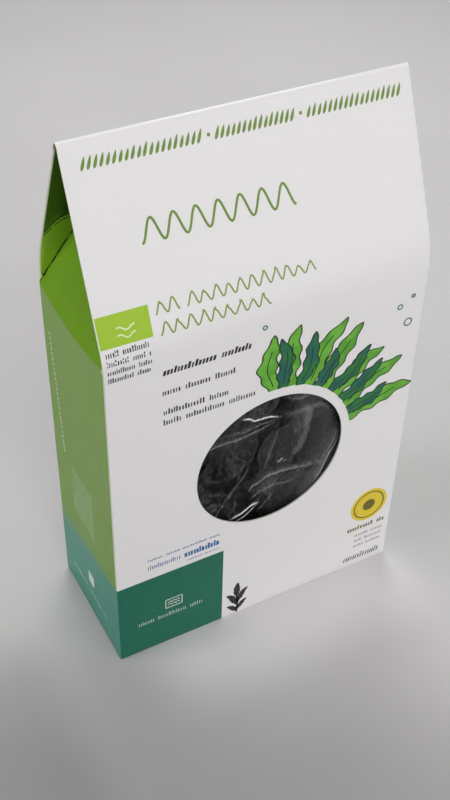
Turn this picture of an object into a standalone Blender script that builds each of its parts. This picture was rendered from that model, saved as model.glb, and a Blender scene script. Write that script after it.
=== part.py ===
"""A retail carton of dried wakame.

A folded board carton with a gable top, gusseted ends and a round window holds a clear film pouch,
and the pouch holds the dried fronds. Everything is in metres, +Z up, with the front panel facing -Y
and the origin at the middle of the carton's base.
"""

import math
import random

import bmesh
import bpy

MM = 0.001

# Carton, outside sizes
WIDTH = 110 * MM
DEPTH = 48.5 * MM
SHOULDER_HEIGHT = 130 * MM
RIDGE_HEIGHT = 188 * MM
BOARD = 0.5 * MM

# The front and back panels bend softly into the roof, round a corner that lies a little above the shoulder
BEND_CORNER_HEIGHT = 134 * MM
BEND_TANGENT = 6 * MM
BEND_STEPS = 6
RIDGE_HALF_THICKNESS = 1.0 * MM
RIDGE_SEAM_HEIGHT = 3 * MM

# Each side panel turns into its gusset along an arc that dips below the shoulder, and the gusset leans in
GUSSET_REACH = 24 * MM
GUSSET_ARC_DIP = 3 * MM
GUSSET_STEPS = 12
RECESS_LAYERS = 2 * BOARD
RECESS_TOP_GAP = 0.6 * MM

# How far cutters run past what they cut, and the share of a gusset's ruling that runs past each of its ends
CUTTER_MARGIN = 4 * MM
RULING_OVERRUN = 0.1

# Window in the front panel
WINDOW_CENTRE_X = 1.5 * MM
WINDOW_CENTRE_Z = 72 * MM
WINDOW_RADIUS = 27 * MM
WINDOW_STEPS = 72

# Two layers of glued flaps close the base, and the outer flap stops short of the front panel
BASE_THICKNESS = 2 * BOARD
FLAP_EDGE_Y = -18 * MM
FLAP_GROOVE_WIDTH = 0.7 * MM
FLAP_GROOVE_DEPTH = 0.3 * MM
FLAP_SIDE_MARGIN = 1.5 * MM

# Film pouch: height, outer half width and outer half depth of its rounded sections, with a seal at the top
FILM = 0.6 * MM
POUCH_SECTIONS = [
    (1.4 * MM, 44.0 * MM, 17.5 * MM),
    (5.0 * MM, 47.0 * MM, 20.5 * MM),
    (14.0 * MM, 48.5 * MM, 21.8 * MM),
    (34.0 * MM, 49.0 * MM, 22.3 * MM),
    (72.0 * MM, 49.0 * MM, 22.4 * MM),
    (104.0 * MM, 48.5 * MM, 21.6 * MM),
    (124.0 * MM, 47.0 * MM, 18.6 * MM),
    (139.0 * MM, 44.5 * MM, 12.5 * MM),
    (150.0 * MM, 41.0 * MM, 6.0 * MM),
    (157.0 * MM, 38.5 * MM, 1.8 * MM),
    (160.0 * MM, 37.5 * MM, 0.5 * MM),
    (168.0 * MM, 36.5 * MM, 0.5 * MM),
]
POUCH_SEAL_SECTIONS = 3
POUCH_EXPONENT = 3.0
POUCH_SIDES = 32
VENT_HEIGHT = 118 * MM
VENT_RADIUS = 1.6 * MM
VENT_STEPS = 12

# Heap of dried fronds: upright layers from front to back, each with its own lean and sway
FROND_SEED = 11
LAYER_SHARES = [-0.75, -0.25, 0.25, 0.75]
LAYER_LEANS = [math.radians(angle) for angle in (24, -30, 18, -22)]
LAYER_SWAY = 4 * MM
LAYER_SWAY_LENGTH = 150 * MM
FRONDS_PER_LAYER = 4
FROND_SPACING = 21.5 * MM
HEAP_LOW = 5.5 * MM
HEAP_HIGH = 130 * MM
HEAP_HALF_WIDTH = 38 * MM
HEAP_CLEARANCE = 0.8 * MM

# One dried frond: a lobed and crumpled blade with a midrib
FROND_THICKNESS = 0.9 * MM
MIDRIB_HEIGHT = 0.5 * MM
FROND_HALF_WIDTH = 9.9 * MM
FROND_STEPS_LONG = 22
FROND_STEPS_ACROSS = 4
FROND_TIP_SHARE = 0.06
FROND_LOSS_AT_TOP = 0.16
LOBES_IN_FULL_LENGTH = 6
LOBE_NOTCH = 0.5
CRUMPLE_DEPTH = 3.6 * MM
CURL_LEAST = 0.35
CURL_MOST = 0.6
CURL_BALANCE = 0.8
FOLD_DEPTH = 0.32
FOLD_TURNS = 2.3
FOLD_SLANT = 1.4
RIPPLE_DEPTH = 0.3

ROOF_LEAN = math.atan((DEPTH / 2 - RIDGE_HALF_THICKNESS) / (RIDGE_HEIGHT - BEND_CORNER_HEIGHT))
BEND_RADIUS = BEND_TANGENT / math.tan(ROOF_LEAN / 2)
BEND_START = BEND_CORNER_HEIGHT - BEND_TANGENT


def clear_scene():
    """Removes every object that the file opened with."""
    for thing in list(bpy.data.objects):
        bpy.data.objects.remove(thing)


def add_material(name, colour, roughness, alpha=1.0):
    """A Principled material in one colour."""
    material = bpy.data.materials.new(name)
    material.use_nodes = True
    shader = material.node_tree.nodes["Principled BSDF"]
    shader.inputs["Base Color"].default_value = (*colour, 1.0)
    shader.inputs["Roughness"].default_value = roughness
    shader.inputs["Metallic"].default_value = 0.0
    shader.inputs["Alpha"].default_value = alpha
    return material


def add_object(name, points, faces, material=None):
    """A mesh object from points and faces, with its normals facing out."""
    mesh = bpy.data.meshes.new(name)
    mesh.from_pydata(points, [], faces)
    work = bmesh.new()
    work.from_mesh(mesh)
    bmesh.ops.recalc_face_normals(work, faces=work.faces)
    work.to_mesh(mesh)
    work.free()
    made = bpy.data.objects.new(name, mesh)
    bpy.context.scene.collection.objects.link(made)
    if material:
        mesh.materials.append(material)
    return made


def as_cutter(thing):
    """Marks an object as a helper that only shapes other objects."""
    thing.hide_render = True
    thing.display_type = "WIRE"
    return thing


def boolean(target, other, operation="DIFFERENCE"):
    """Adds a Boolean modifier that cuts target with other, or keeps what they share."""
    modifier = target.modifiers.new(other.name, "BOOLEAN")
    modifier.operation = operation
    modifier.solver = "EXACT"
    modifier.object = other


def round_punch(name, radius, steps, place):
    """A round cutter along Y through a place on a wall."""
    mesh = bpy.data.meshes.new(name)
    work = bmesh.new()
    bmesh.ops.create_cone(
        work, cap_ends=True, segments=steps, radius1=radius, radius2=radius, depth=2 * CUTTER_MARGIN
    )
    work.to_mesh(mesh)
    work.free()
    punch = bpy.data.objects.new(name, mesh)
    bpy.context.scene.collection.objects.link(punch)
    punch.location = place
    punch.rotation_euler = (math.radians(90), 0, 0)
    return as_cutter(punch)


def roof_half_depth(z, inset):
    """Half depth of the carton's YZ outline at a height, moved inwards by inset."""
    radius = BEND_RADIUS - inset
    arc_centre_y = DEPTH / 2 - BEND_RADIUS
    rise = z - BEND_START
    arc_rise = radius * math.sin(ROOF_LEAN)
    if rise <= 0:
        return DEPTH / 2 - inset
    if rise <= arc_rise:
        return arc_centre_y + math.sqrt(radius**2 - rise**2)
    return arc_centre_y + radius * math.cos(ROOF_LEAN) - math.tan(ROOF_LEAN) * (rise - arc_rise)


def half_outline(inset, low, high):
    """Half depths and heights from low, round the soft bend, to high."""
    radius = BEND_RADIUS - inset
    angles = [ROOF_LEAN * i / BEND_STEPS for i in range(BEND_STEPS + 1)]
    heights = [low, *[BEND_START + radius * math.sin(angle) for angle in angles], high]
    return [(roof_half_depth(z, inset), z) for z in heights]


def gable_prism(name, inset, half_width, low, high, material=None):
    """The carton's YZ outline, moved inwards by inset and extruded along X."""
    right = half_outline(inset, low, high)
    outline = right + [(-y, z) for y, z in reversed(right)]
    count = len(outline)
    points = [(x, y, z) for x in (-half_width, half_width) for y, z in outline]
    faces = [tuple(range(count)), tuple(range(2 * count - 1, count - 1, -1))]
    for i in range(count):
        j = (i + 1) % count
        faces.append((i, j, count + j, count + i))
    return add_object(name, points, faces, material)


def gusset_arc_height(y):
    """Height of the curved crease between a side panel and its gusset."""
    share = min(abs(y) / (DEPTH / 2), 1.0)
    return SHOULDER_HEIGHT - GUSSET_ARC_DIP * (1 - share**2)


def gusset_wedge(name, side, inset):
    """The space outside a gusset panel, whose straight rulings run from the arc up to the ridge's height."""
    outer_x = side * (WIDTH / 2 + 2 * CUTTER_MARGIN)
    reach_y = DEPTH / 2 + CUTTER_MARGIN
    points = []
    for i in range(GUSSET_STEPS + 1):
        y = reach_y * (2 * i / GUSSET_STEPS - 1)
        foot = gusset_arc_height(y)
        for share in (-RULING_OVERRUN, 1 + RULING_OVERRUN):
            x = side * (WIDTH / 2 - inset - share * GUSSET_REACH)
            z = foot + share * (RIDGE_HEIGHT - foot)
            points += [(x, y, z), (outer_x, y, z)]
    faces = []
    for i in range(GUSSET_STEPS):
        a, b = 4 * i, 4 * (i + 1)
        faces += [
            (a, a + 2, b + 2, b),
            (a + 1, b + 1, b + 3, a + 3),
            (a, b, b + 1, a + 1),
            (a + 2, a + 3, b + 3, b + 2),
        ]
    last = 4 * GUSSET_STEPS
    faces += [(0, 1, 3, 2), (last, last + 2, last + 3, last + 1)]
    return as_cutter(add_object(name, points, faces))


def gusset_recess(side, label):
    """The open pocket between the two roof panels, outside the gusset and the flanks folded flat beside it."""
    half_width = WIDTH / 2 + CUTTER_MARGIN
    low = SHOULDER_HEIGHT - 2 * GUSSET_ARC_DIP
    high = RIDGE_HEIGHT - RECESS_TOP_GAP
    recess = gable_prism(f"recess_{label}", RECESS_LAYERS, half_width, low, high)
    boolean(recess, gusset_wedge(f"recess_wedge_{label}", side, 0.0), "INTERSECT")
    return as_cutter(recess)


def carton_cavity():
    """The room inside the carton, between its boards."""
    high = RIDGE_HEIGHT - RIDGE_SEAM_HEIGHT
    cavity = gable_prism("cavity", BOARD, WIDTH / 2 - BOARD, BASE_THICKNESS, high)
    for side, label in ((-1, "left"), (1, "right")):
        boolean(cavity, gusset_wedge(f"cavity_wedge_{label}", side, BOARD / math.cos(ROOF_LEAN)))
    return as_cutter(cavity)


def base_flap_groove():
    """The free edge of the outer base flap, seen from below."""
    half = WIDTH / 2 - FLAP_SIDE_MARGIN
    xs = (-half, half)
    ys = (FLAP_EDGE_Y - FLAP_GROOVE_WIDTH, FLAP_EDGE_Y)
    zs = (-CUTTER_MARGIN, FLAP_GROOVE_DEPTH)
    points = [(x, y, z) for x in xs for y in ys for z in zs]
    faces = [(0, 1, 3, 2), (4, 6, 7, 5), (0, 4, 5, 1), (2, 3, 7, 6), (0, 2, 6, 4), (1, 5, 7, 3)]
    return as_cutter(add_object("flap_groove", points, faces))


def make_carton(material):
    """The carton: one folded and glued board blank with its window."""
    carton = gable_prism("carton", 0.0, WIDTH / 2, 0.0, RIDGE_HEIGHT, material)
    window_place = (WINDOW_CENTRE_X, -DEPTH / 2, WINDOW_CENTRE_Z)
    boolean(carton, carton_cavity())
    boolean(carton, gusset_recess(-1, "left"))
    boolean(carton, gusset_recess(1, "right"))
    boolean(carton, round_punch("window_punch", WINDOW_RADIUS, WINDOW_STEPS, window_place))
    boolean(carton, base_flap_groove())


def between(low, high, share):
    """A value between two others."""
    return low + (high - low) * share


def pouch_section(z):
    """Outer half width and half depth of the pouch at a height."""
    for (z0, a0, b0), (z1, a1, b1) in zip(POUCH_SECTIONS, POUCH_SECTIONS[1:]):
        if z <= z1:
            share = max(0.0, (z - z0) / (z1 - z0))
            return between(a0, a1, share), between(b0, b1, share)
    return POUCH_SECTIONS[-1][1:]


def section_ring(z, half_width, half_depth):
    """Points round a section with full, rounded corners."""
    ring = []
    power = 2 / POUCH_EXPONENT
    for i in range(POUCH_SIDES):
        angle = 2 * math.pi * i / POUCH_SIDES
        c, s = math.cos(angle), math.sin(angle)
        x = half_width * math.copysign(abs(c) ** power, c)
        y = half_depth * math.copysign(abs(s) ** power, s)
        ring.append((x, y, z))
    return ring


def lofted(name, rings, material=None):
    """A closed solid through a stack of rings."""
    count = len(rings[0])
    points = [point for ring in rings for point in ring]
    faces = [tuple(range(count)), tuple(range(len(points) - count, len(points)))]
    for k in range(len(rings) - 1):
        for i in range(count):
            j = (i + 1) % count
            faces.append((k * count + i, k * count + j, (k + 1) * count + j, (k + 1) * count + i))
    return add_object(name, points, faces, material)


def make_pouch(material):
    """The film pouch, full at its base and drawn in to a flat seal at its top, with a vent in its back."""
    pouch = lofted("pouch", [section_ring(*row) for row in POUCH_SECTIONS], material)
    filled = POUCH_SECTIONS[:-POUCH_SEAL_SECTIONS]
    rings = [section_ring(z, a - FILM, b - FILM) for z, a, b in filled]
    rings[0] = [(x, y, z + FILM) for x, y, z in rings[0]]
    vent_place = (0.0, pouch_section(VENT_HEIGHT)[1], VENT_HEIGHT)
    boolean(pouch, as_cutter(lofted("pouch_room", rings)))
    boolean(pouch, round_punch("vent_punch", VENT_RADIUS, VENT_STEPS, vent_place))
    pouch.data.shade_smooth()


def room_half_depth(x, z):
    """Half depth of the pouch's room for the fronds at a place in the XZ plane."""
    half_width, half_depth = pouch_section(z)
    across = min(abs(x) / (half_width - FILM), 1.0)
    rounded = (1 - across**POUCH_EXPONENT) ** (1 / POUCH_EXPONENT)
    return (half_depth - FILM) * rounded - HEAP_CLEARANCE


def height_limits(middle_x, lean):
    """Lowest and highest height that a leaning frond's middle line reaches inside the heap."""
    low, high = HEAP_LOW, HEAP_HIGH
    middle_z = between(HEAP_LOW, HEAP_HIGH, 0.5)
    for edge in (-HEAP_HALF_WIDTH, HEAP_HALF_WIDTH):
        z = middle_z + (edge - middle_x) / math.tan(lean)
        if z > middle_z:
            high = min(high, z)
        else:
            low = max(low, z)
    return low, high


class Frond:
    """One dried frond in one layer of the heap."""

    def __init__(self, layer, place, sway_phase, draw):
        self.share = LAYER_SHARES[layer]
        self.lean = LAYER_LEANS[layer]
        self.sway_phase = sway_phase
        offset = (place - (FRONDS_PER_LAYER - 1) / 2) * FROND_SPACING
        self.middle_x = offset / math.cos(self.lean)
        self.low, self.high = height_limits(self.middle_x, self.lean)
        self.high -= draw.uniform(0, FROND_LOSS_AT_TOP) * (self.high - self.low)
        self.left_phase, self.right_phase, self.fold_phase, self.ripple_phase = (
            draw.uniform(0, 2 * math.pi) for _ in range(4)
        )
        self.half_width = FROND_HALF_WIDTH * draw.uniform(0.9, 1.0)
        self.curl = draw.choice((-1, 1)) * draw.uniform(CURL_LEAST, CURL_MOST)
        self.lobes = LOBES_IN_FULL_LENGTH * (self.high - self.low) / (HEAP_HIGH - HEAP_LOW)

    def width_at(self, u, side):
        """Half width on one side: full in the middle, narrow at the ends and notched between lobes."""
        taper = math.sqrt(math.sin(math.pi * between(FROND_TIP_SHARE, 1 - FROND_TIP_SHARE, u)))
        phase = self.right_phase if side > 0 else self.left_phase
        notch = (0.5 + 0.5 * math.cos(2 * math.pi * self.lobes * u + phase)) ** 2
        return self.half_width * taper * (1 - LOBE_NOTCH * notch)

    def crumple(self, u, v):
        """Offset across the layer from -1 to 1: a curl, slanting folds and ripples at the edges."""
        curl = self.curl * (2 * v * v - CURL_BALANCE)
        fold = FOLD_DEPTH * math.sin(2 * math.pi * FOLD_TURNS * u + self.fold_phase + FOLD_SLANT * v)
        ripple = RIPPLE_DEPTH * v * math.sin(2 * math.pi * self.lobes * u + self.ripple_phase)
        return max(-1.0, min(1.0, curl + fold + ripple))

    def point(self, u, v):
        """Middle of the blade at a share u of its length and at v, from -1 to 1, across it."""
        line_z = between(self.low, self.high, u)
        line_x = self.middle_x + (line_z - between(HEAP_LOW, HEAP_HIGH, 0.5)) * math.tan(self.lean)
        reach = v * self.width_at(u, v)
        z = line_z - reach * math.sin(self.lean)
        sway = LAYER_SWAY * math.sin(2 * math.pi * z / LAYER_SWAY_LENGTH + self.sway_phase)
        x = line_x + reach * math.cos(self.lean) + sway
        depth = room_half_depth(x, z)
        flattening = depth / room_half_depth(0.0, WINDOW_CENTRE_Z)
        y = self.share * depth + CRUMPLE_DEPTH * flattening * self.crumple(u, v)
        return x, y, z

    def blade_points(self):
        """Points of the blade's front face, then those of its back face."""
        points = []
        for face in (-1, 1):
            for i in range(FROND_STEPS_LONG + 1):
                for j in range(FROND_STEPS_ACROSS + 1):
                    x, y, z = self.point(i / FROND_STEPS_LONG, 2 * j / FROND_STEPS_ACROSS - 1)
                    rib = MIDRIB_HEIGHT if 2 * j == FROND_STEPS_ACROSS else 0.0
                    points.append((x, y + face * (FROND_THICKNESS / 2 + rib), z))
        return points


def blade_faces():
    """Triangles of a blade, split alike on both faces, with the rim between them."""
    rows, columns = FROND_STEPS_LONG + 1, FROND_STEPS_ACROSS + 1
    back = rows * columns
    faces = []
    for i in range(rows - 1):
        for j in range(columns - 1):
            a = i * columns + j
            b, c, d = a + 1, a + columns + 1, a + columns
            for start in (0, back):
                faces += [(a + start, b + start, c + start), (a + start, c + start, d + start)]
    rim = list(range(columns))
    rim += [i * columns + columns - 1 for i in range(1, rows)]
    rim += [(rows - 1) * columns + j for j in range(columns - 2, -1, -1)]
    rim += [i * columns for i in range(rows - 2, 0, -1)]
    for a, b in zip(rim, rim[1:] + rim[:1]):
        faces += [(a, b, b + back), (a, b + back, a + back)]
    return faces


def make_fronds(material):
    """All the fronds, layer by layer from the front."""
    draw = random.Random(FROND_SEED)
    number = 0
    for layer in range(len(LAYER_SHARES)):
        sway_phase = draw.uniform(0, 2 * math.pi)
        for place in range(FRONDS_PER_LAYER):
            number += 1
            frond = Frond(layer, place, sway_phase, draw)
            made = add_object(f"frond_{number:02d}", frond.blade_points(), blade_faces(), material)
            made.data.shade_smooth()


def main():
    clear_scene()
    make_carton(add_material("board", (0.86, 0.85, 0.85), 0.5))
    make_pouch(add_material("film", (0.8, 0.82, 0.82), 0.12, alpha=0.25))
    make_fronds(add_material("dried_seaweed", (0.02, 0.025, 0.018), 0.6))


main()
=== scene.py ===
"""The looks of a carton of dried wakame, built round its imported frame.

Everything is in metres in the row frame: +Z is up and the front panel faces -Y.
"""

import math
import random

import bmesh
import bpy
from mathutils import Matrix, Vector, noise


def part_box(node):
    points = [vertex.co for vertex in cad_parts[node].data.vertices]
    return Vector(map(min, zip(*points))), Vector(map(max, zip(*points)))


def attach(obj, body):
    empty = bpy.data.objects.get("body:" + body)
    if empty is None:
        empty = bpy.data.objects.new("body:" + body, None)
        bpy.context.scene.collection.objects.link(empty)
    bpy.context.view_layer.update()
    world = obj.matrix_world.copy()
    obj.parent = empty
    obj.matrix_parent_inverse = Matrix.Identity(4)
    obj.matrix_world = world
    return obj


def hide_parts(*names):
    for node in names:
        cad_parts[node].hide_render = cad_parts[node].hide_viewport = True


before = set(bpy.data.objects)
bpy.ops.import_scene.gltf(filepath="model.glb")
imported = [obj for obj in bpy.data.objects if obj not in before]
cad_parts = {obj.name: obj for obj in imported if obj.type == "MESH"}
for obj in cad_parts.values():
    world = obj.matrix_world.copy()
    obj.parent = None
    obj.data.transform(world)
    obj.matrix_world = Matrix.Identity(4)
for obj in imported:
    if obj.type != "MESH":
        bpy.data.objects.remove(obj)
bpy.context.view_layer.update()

MM = 0.001

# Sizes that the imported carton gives
CARTON_LOW, CARTON_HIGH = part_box("carton")
WIDTH = CARTON_HIGH.x - CARTON_LOW.x
DEPTH = CARTON_HIGH.y - CARTON_LOW.y
RIDGE_HEIGHT = CARTON_HIGH.z

# Camera, fitted to the corners of the carton in the photograph
CAMERA_PLACE = Vector((-0.1454, -0.2558, 0.3342))
CAMERA_RIGHT = Vector((0.88179, -0.47119, 0.02062))
CAMERA_DOWN = Vector((-0.29468, -0.58456, -0.75594))
CAMERA_LOOK = Vector((0.36825, 0.6605, -0.65431))
CAMERA_LENS = 52.39
CAMERA_SENSOR = 36.0

# Room light towards the horizon and overhead
WORLD_LOW = 0.34
WORLD_HIGH = 0.03
WORLD_FADE = (0.05, 0.5)

# Painted glow: the floor emits light beyond the photograph's frame, where the lamps don't reach
FLOOR_PAINTED_GLOW = 0.30
FLOOR_PAINTED_GLOW_START = 0.65
FLOOR_PAINTED_GLOW_END = 1.3

# Board and folds
BOARD = 0.45 * MM
SKIN_INSET = 0.12 * MM
SHOULDER_HEIGHT = 130 * MM
RIDGE_HALF = 1.0 * MM
RIDGE_ROUND = 0.9 * MM
BASE_ROUND = 0.5 * MM
FOLD_RADIUS = 0.5 * MM
FOLD_STEPS = 6
FOLD_TURN_HEIGHT = 2 * MM
FLANK_STEPS = 10
PANEL_STEPS = 44
SIDE_STEPS = 28
GUSSET_REACH = 24 * MM
CAVITY_NARROWS = 124 * MM
GUSSET_ARC_DIP = 3 * MM
GUSSET_DIP_START = 96 * MM
GUSSET_CREASE_DEPTH = 0.5 * MM
# Width of the faces that take the painted shade of the fold line
FOLD_SHADE_LINE_WIDTH = 0.35 * MM
BUCKLE_DEPTH = 2.4 * MM
BUCKLE_OPEN = 12 * MM
BUCKLE_SHUT = 3.5 * MM
HALF_DEPTH = DEPTH / 2 - SKIN_INSET

# The crease of the buckle in millimetres, from its start at the left fold inwards
BUCKLE_START = 54.7
BUCKLE_LOW = 148.9
BUCKLE_SLOPE = 2.35
BUCKLE_BEND = -0.165

# Nicks in the folds
SCUFFS = [(-54.9, -23.9, 129.2), (-54.9, 23.4, 132.3)]
SCUFF_RADIUS = 1.1 * MM

# Window
WINDOW_CENTRE = (1.5 * MM, 72 * MM)
WINDOW_HALF_WIDTH = 27.0 * MM
WINDOW_HALF_HEIGHT = 26.5 * MM

# Pouch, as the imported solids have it
FILM = 0.6 * MM
POUCH_SECTIONS = [
    (z * MM, half_width * MM, half_depth * MM)
    for z, half_width, half_depth in (
        (1.4, 44.0, 17.5), (5.0, 47.0, 20.5), (14.0, 48.5, 21.8), (34.0, 49.0, 22.3),
        (72.0, 49.0, 22.4), (104.0, 48.5, 21.6), (124.0, 47.0, 18.6), (139.0, 44.5, 12.5),
        (150.0, 41.0, 6.0), (157.0, 38.5, 1.8), (160.0, 37.5, 0.5), (168.0, 36.5, 0.5),
    )
]
POUCH_EXPONENT = 3.0

# Looks of the film, and its points: a fine grid behind the window and steps beside and behind that
FILM_HAZE = 0.05
FILM_GLOSS = 0.05
# White of the painted highlights and painted hazy reflections on the film
FILM_HIGHLIGHT_WHITE = (244, 245, 252)
FILM_MIRROR = (108, 108, 112)
FINE_FILM = 0.235 * MM
FINE_HALF_WIDTH = 31 * MM
FINE_HALF_HEIGHT = 30 * MM
CREASED_MARGIN = 2 * MM
FILM_BESIDE_STEPS = 14
FILM_BEHIND_STEPS = 40

# Where the film comes close to the board: the way there from the window's middle, and the distance in mm
RIM_ACROSS = (0.85, -0.53)
RIM_START = 22.0

# Fronds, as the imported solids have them, and the finer wrinkles of their looks
FROND_SEED = 11
LAYER_SHARES = [-0.75, -0.25, 0.25, 0.75]
LAYER_LEANS = [math.radians(angle) for angle in (24, -30, 18, -22)]
LAYER_SWAY = 4 * MM
LAYER_SWAY_LENGTH = 150 * MM
FRONDS_PER_LAYER = 4
FROND_SPACING = 21.5 * MM
HEAP_LOW = 5.5 * MM
HEAP_HIGH = 130 * MM
HEAP_HALF_WIDTH = 38 * MM
HEAP_CLEARANCE = 0.8 * MM
FROND_THICKNESS = 0.5 * MM
MIDRIB_HEIGHT = 0.5 * MM
FROND_HALF_WIDTH = 9.9 * MM
FROND_STEPS_LONG = 120
FROND_STEPS_ACROSS = 20
FROND_TIP_SHARE = 0.06
FROND_LOSS_AT_TOP = 0.16
LOBES_IN_FULL_LENGTH = 6
LOBE_NOTCH = 0.5
CRUMPLE_DEPTH = 3.6 * MM
CURL_LEAST = 0.35
CURL_MOST = 0.6
CURL_BALANCE = 0.8
FOLD_DEPTH = 0.32
FOLD_TURNS = 2.3
FOLD_SLANT = 1.4
RIPPLE_DEPTH = 0.3
WRINKLE_DEPTH = 1.1 * MM
WRINKLE_SIZE = 4.2 * MM

# Print: colours as they look on white board, in 8 bit sRGB; a few hold painted light and shade, as noted
# beside them
WHITE = (240, 238, 238)
LIME = (159, 199, 16)
LIME_MARK = (226, 238, 190)
SIDE_GREEN = (113, 156, 34)
GUSSET_GREEN = (112, 159, 25)
# Lit and shaded copies of the flank's green: lighter as painted light on the lower flank, and painted shade
# above its buckle, darkest deep in the fold
FLANK_LIT_GREEN = (128, 176, 36)
FLANK_SHADE = (72, 108, 20)
FLANK_DEEP_SHADE = (34, 62, 8)
# Painted shade in the flanks' creases and fold lines
CREASE_SHADE_GREEN = (16, 30, 6)
TEAL = (6, 103, 81)
# Teal of the side panels, paled by a painted sheen
SIDE_TEAL_AND_SHEEN = (58, 146, 126)
OLIVE = (104, 138, 32)
HAND_OLIVE = (132, 152, 60)
INK = (30, 28, 30)
BLACK_INK = (12, 11, 12)
GREY_INK = (104, 100, 104)
BLUE = (0, 98, 160)
DISC_YELLOW = (230, 203, 40)
DISC_OLIVE = (104, 96, 20)
LEAF_GREEN = (84, 164, 38)
LEAF_LIGHT = (112, 188, 56)
LEAF_DEEP = (30, 122, 52)
LEAF_BLUE = (10, 100, 84)
LEAF_OUTLINE = (14, 34, 20)
PALE_PRINT = (214, 226, 214)
BOARD_EDGE = (224, 220, 213)
BARE_NICK = (232, 234, 224)
WRINKLE_GREY = (96, 93, 90)
BOARD_INSIDE = (150, 146, 140)
FLOOR_GREY = (194, 192, 193)
FLOOR_GREY_LOW = (191, 189, 190)

# Print: places on the front panel in millimetres from its middle and from the base
TEAL_BLOCK_RIGHT = -15.2
TEAL_BLOCK_TOP = 36.6
TEAL_BACK_TOP = 30.0
HEADER_RUNS = ((-49.7, -13.9), (-10.3, 15.1), (18.7, 50.9))
PRINT_SEED = 5
INK_LIFT = 0.02 * MM
INK_LEVEL = 0.015 * MM
INK_ROOT = 0.08 * MM


def between(low, high, share):
    """A value between two others."""
    return low + (high - low) * share


def clamp(value, low=0.0, high=1.0):
    return max(low, min(high, value))


def smooth(value):
    """0 to 1 with level ends."""
    value = clamp(value)
    return value * value * (3 - 2 * value)


def srgb(colour):
    """Linear colour of 8 bit sRGB values."""
    linear = []
    for value in colour:
        share = value / 255
        linear.append(share / 12.92 if share <= 0.04045 else ((share + 0.055) / 1.055) ** 2.4)
    return (*linear, 1.0)


# Camera, floor and light


def make_camera():
    data = bpy.data.cameras.new("camera")
    data.lens = CAMERA_LENS
    data.sensor_width = CAMERA_SENSOR
    data.clip_start = 0.01
    camera = bpy.data.objects.new("camera", data)
    bpy.context.scene.collection.objects.link(camera)
    turn = Matrix((CAMERA_RIGHT, -CAMERA_DOWN, -CAMERA_LOOK)).transposed()
    camera.matrix_world = Matrix.Translation(CAMERA_PLACE) @ turn.to_4x4()
    bpy.context.scene.camera = camera


def area_light(name, place, target, size, power, colour=(1.0, 1.0, 1.0)):
    data = bpy.data.lights.new(name, "AREA")
    data.shape = "DISK"
    data.size = size
    data.energy = power
    data.color = colour
    lamp = bpy.data.objects.new(name, data)
    bpy.context.scene.collection.objects.link(lamp)
    lamp.location = place
    lamp.rotation_euler = (Vector(target) - Vector(place)).to_track_quat("-Z", "Y").to_euler()


def make_world():
    """A room that is pale towards the horizon and dim overhead."""
    world = bpy.data.worlds.new("studio")
    world.use_nodes = True
    tree = world.node_tree
    background = tree.nodes["Background"]
    background.inputs["Color"].default_value = (1.0, 1.0, 1.0, 1.0)
    direction = tree.nodes.new("ShaderNodeTexCoord")
    split = tree.nodes.new("ShaderNodeSeparateXYZ")
    tree.links.new(direction.outputs["Generated"], split.inputs[0])
    fade = tree.nodes.new("ShaderNodeMapRange")
    fade.interpolation_type = "SMOOTHSTEP"
    for socket, value in zip(fade.inputs[1:5], (*WORLD_FADE, WORLD_LOW, WORLD_HIGH)):
        socket.default_value = value
    tree.links.new(split.outputs["Z"], fade.inputs["Value"])
    tree.links.new(fade.outputs[0], background.inputs["Strength"])
    bpy.context.scene.world = world


def make_lights():
    """A pale horizon, a key from behind on the right and soft lamps in front and at both sides."""
    make_world()
    middle = (0.0, 0.0, 0.06)
    area_light("key", (0.20, 0.45, 0.60), middle, 0.5, 2.8)
    area_light("front_high", (-0.20, -0.70, 0.90), middle, 0.6, 3.8, (1.0, 0.985, 0.985))
    area_light("front_right", (0.50, -0.90, 0.40), middle, 0.7, 3.0)
    area_light("front_far", (0.0, -3.0, 1.2), middle, 2.0, 9.0)
    area_light("left", (-0.80, 0.10, 0.50), middle, 0.6, 3.3)
    area_light("right", (0.80, 0.10, 0.50), middle, 0.6, 1.5)


def make_floor():
    floor = plain_mesh("floor", [(-2, -2, 0), (2, -2, 0), (2, 2, 0), (-2, 2, 0)], [(0, 1, 2, 3)])
    floor.location.z = -0.05 * MM
    floor.data.materials.append(floor_material())


# Meshes


def circle(x, z, radius, steps=48):
    """Points round a circle."""
    angles = [2 * math.pi * i / steps for i in range(steps)]
    return [(x + radius * math.cos(angle), z + radius * math.sin(angle)) for angle in angles]


def closed_grid(start, rows, columns):
    """Faces of a thin body whose two sides are grids of points, one after the other."""
    layer = rows * columns
    faces = []
    for i in range(rows - 1):
        for j in range(columns - 1):
            a = start + i * columns + j
            quad = (a, a + 1, a + columns + 1, a + columns)
            faces += [quad, tuple(index + layer for index in reversed(quad))]
    rim = list(range(columns)) + [i * columns + columns - 1 for i in range(1, rows)]
    rim += [(rows - 1) * columns + j for j in range(columns - 2, -1, -1)]
    rim += [i * columns for i in range(rows - 2, 0, -1)]
    for a, b in zip(rim, rim[1:] + rim[:1]):
        faces.append((start + a, start + b, start + b + layer, start + a + layer))
    return faces


def plain_mesh(name, points, faces, smooth_shaded=False):
    mesh = bpy.data.meshes.new(name)
    mesh.from_pydata(points, [], faces)
    made = bpy.data.objects.new(name, mesh)
    bpy.context.scene.collection.objects.link(made)
    if smooth_shaded:
        mesh.shade_smooth()
    return made


def tidy_mesh(made, merge=1e-6):
    """Welds double points and turns the faces outwards."""
    work = bmesh.new()
    work.from_mesh(made.data)
    bmesh.ops.remove_doubles(work, verts=work.verts, dist=merge)
    bmesh.ops.dissolve_degenerate(work, edges=work.edges, dist=1e-7)
    bmesh.ops.recalc_face_normals(work, faces=work.faces)
    work.to_mesh(made.data)
    work.free()


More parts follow.
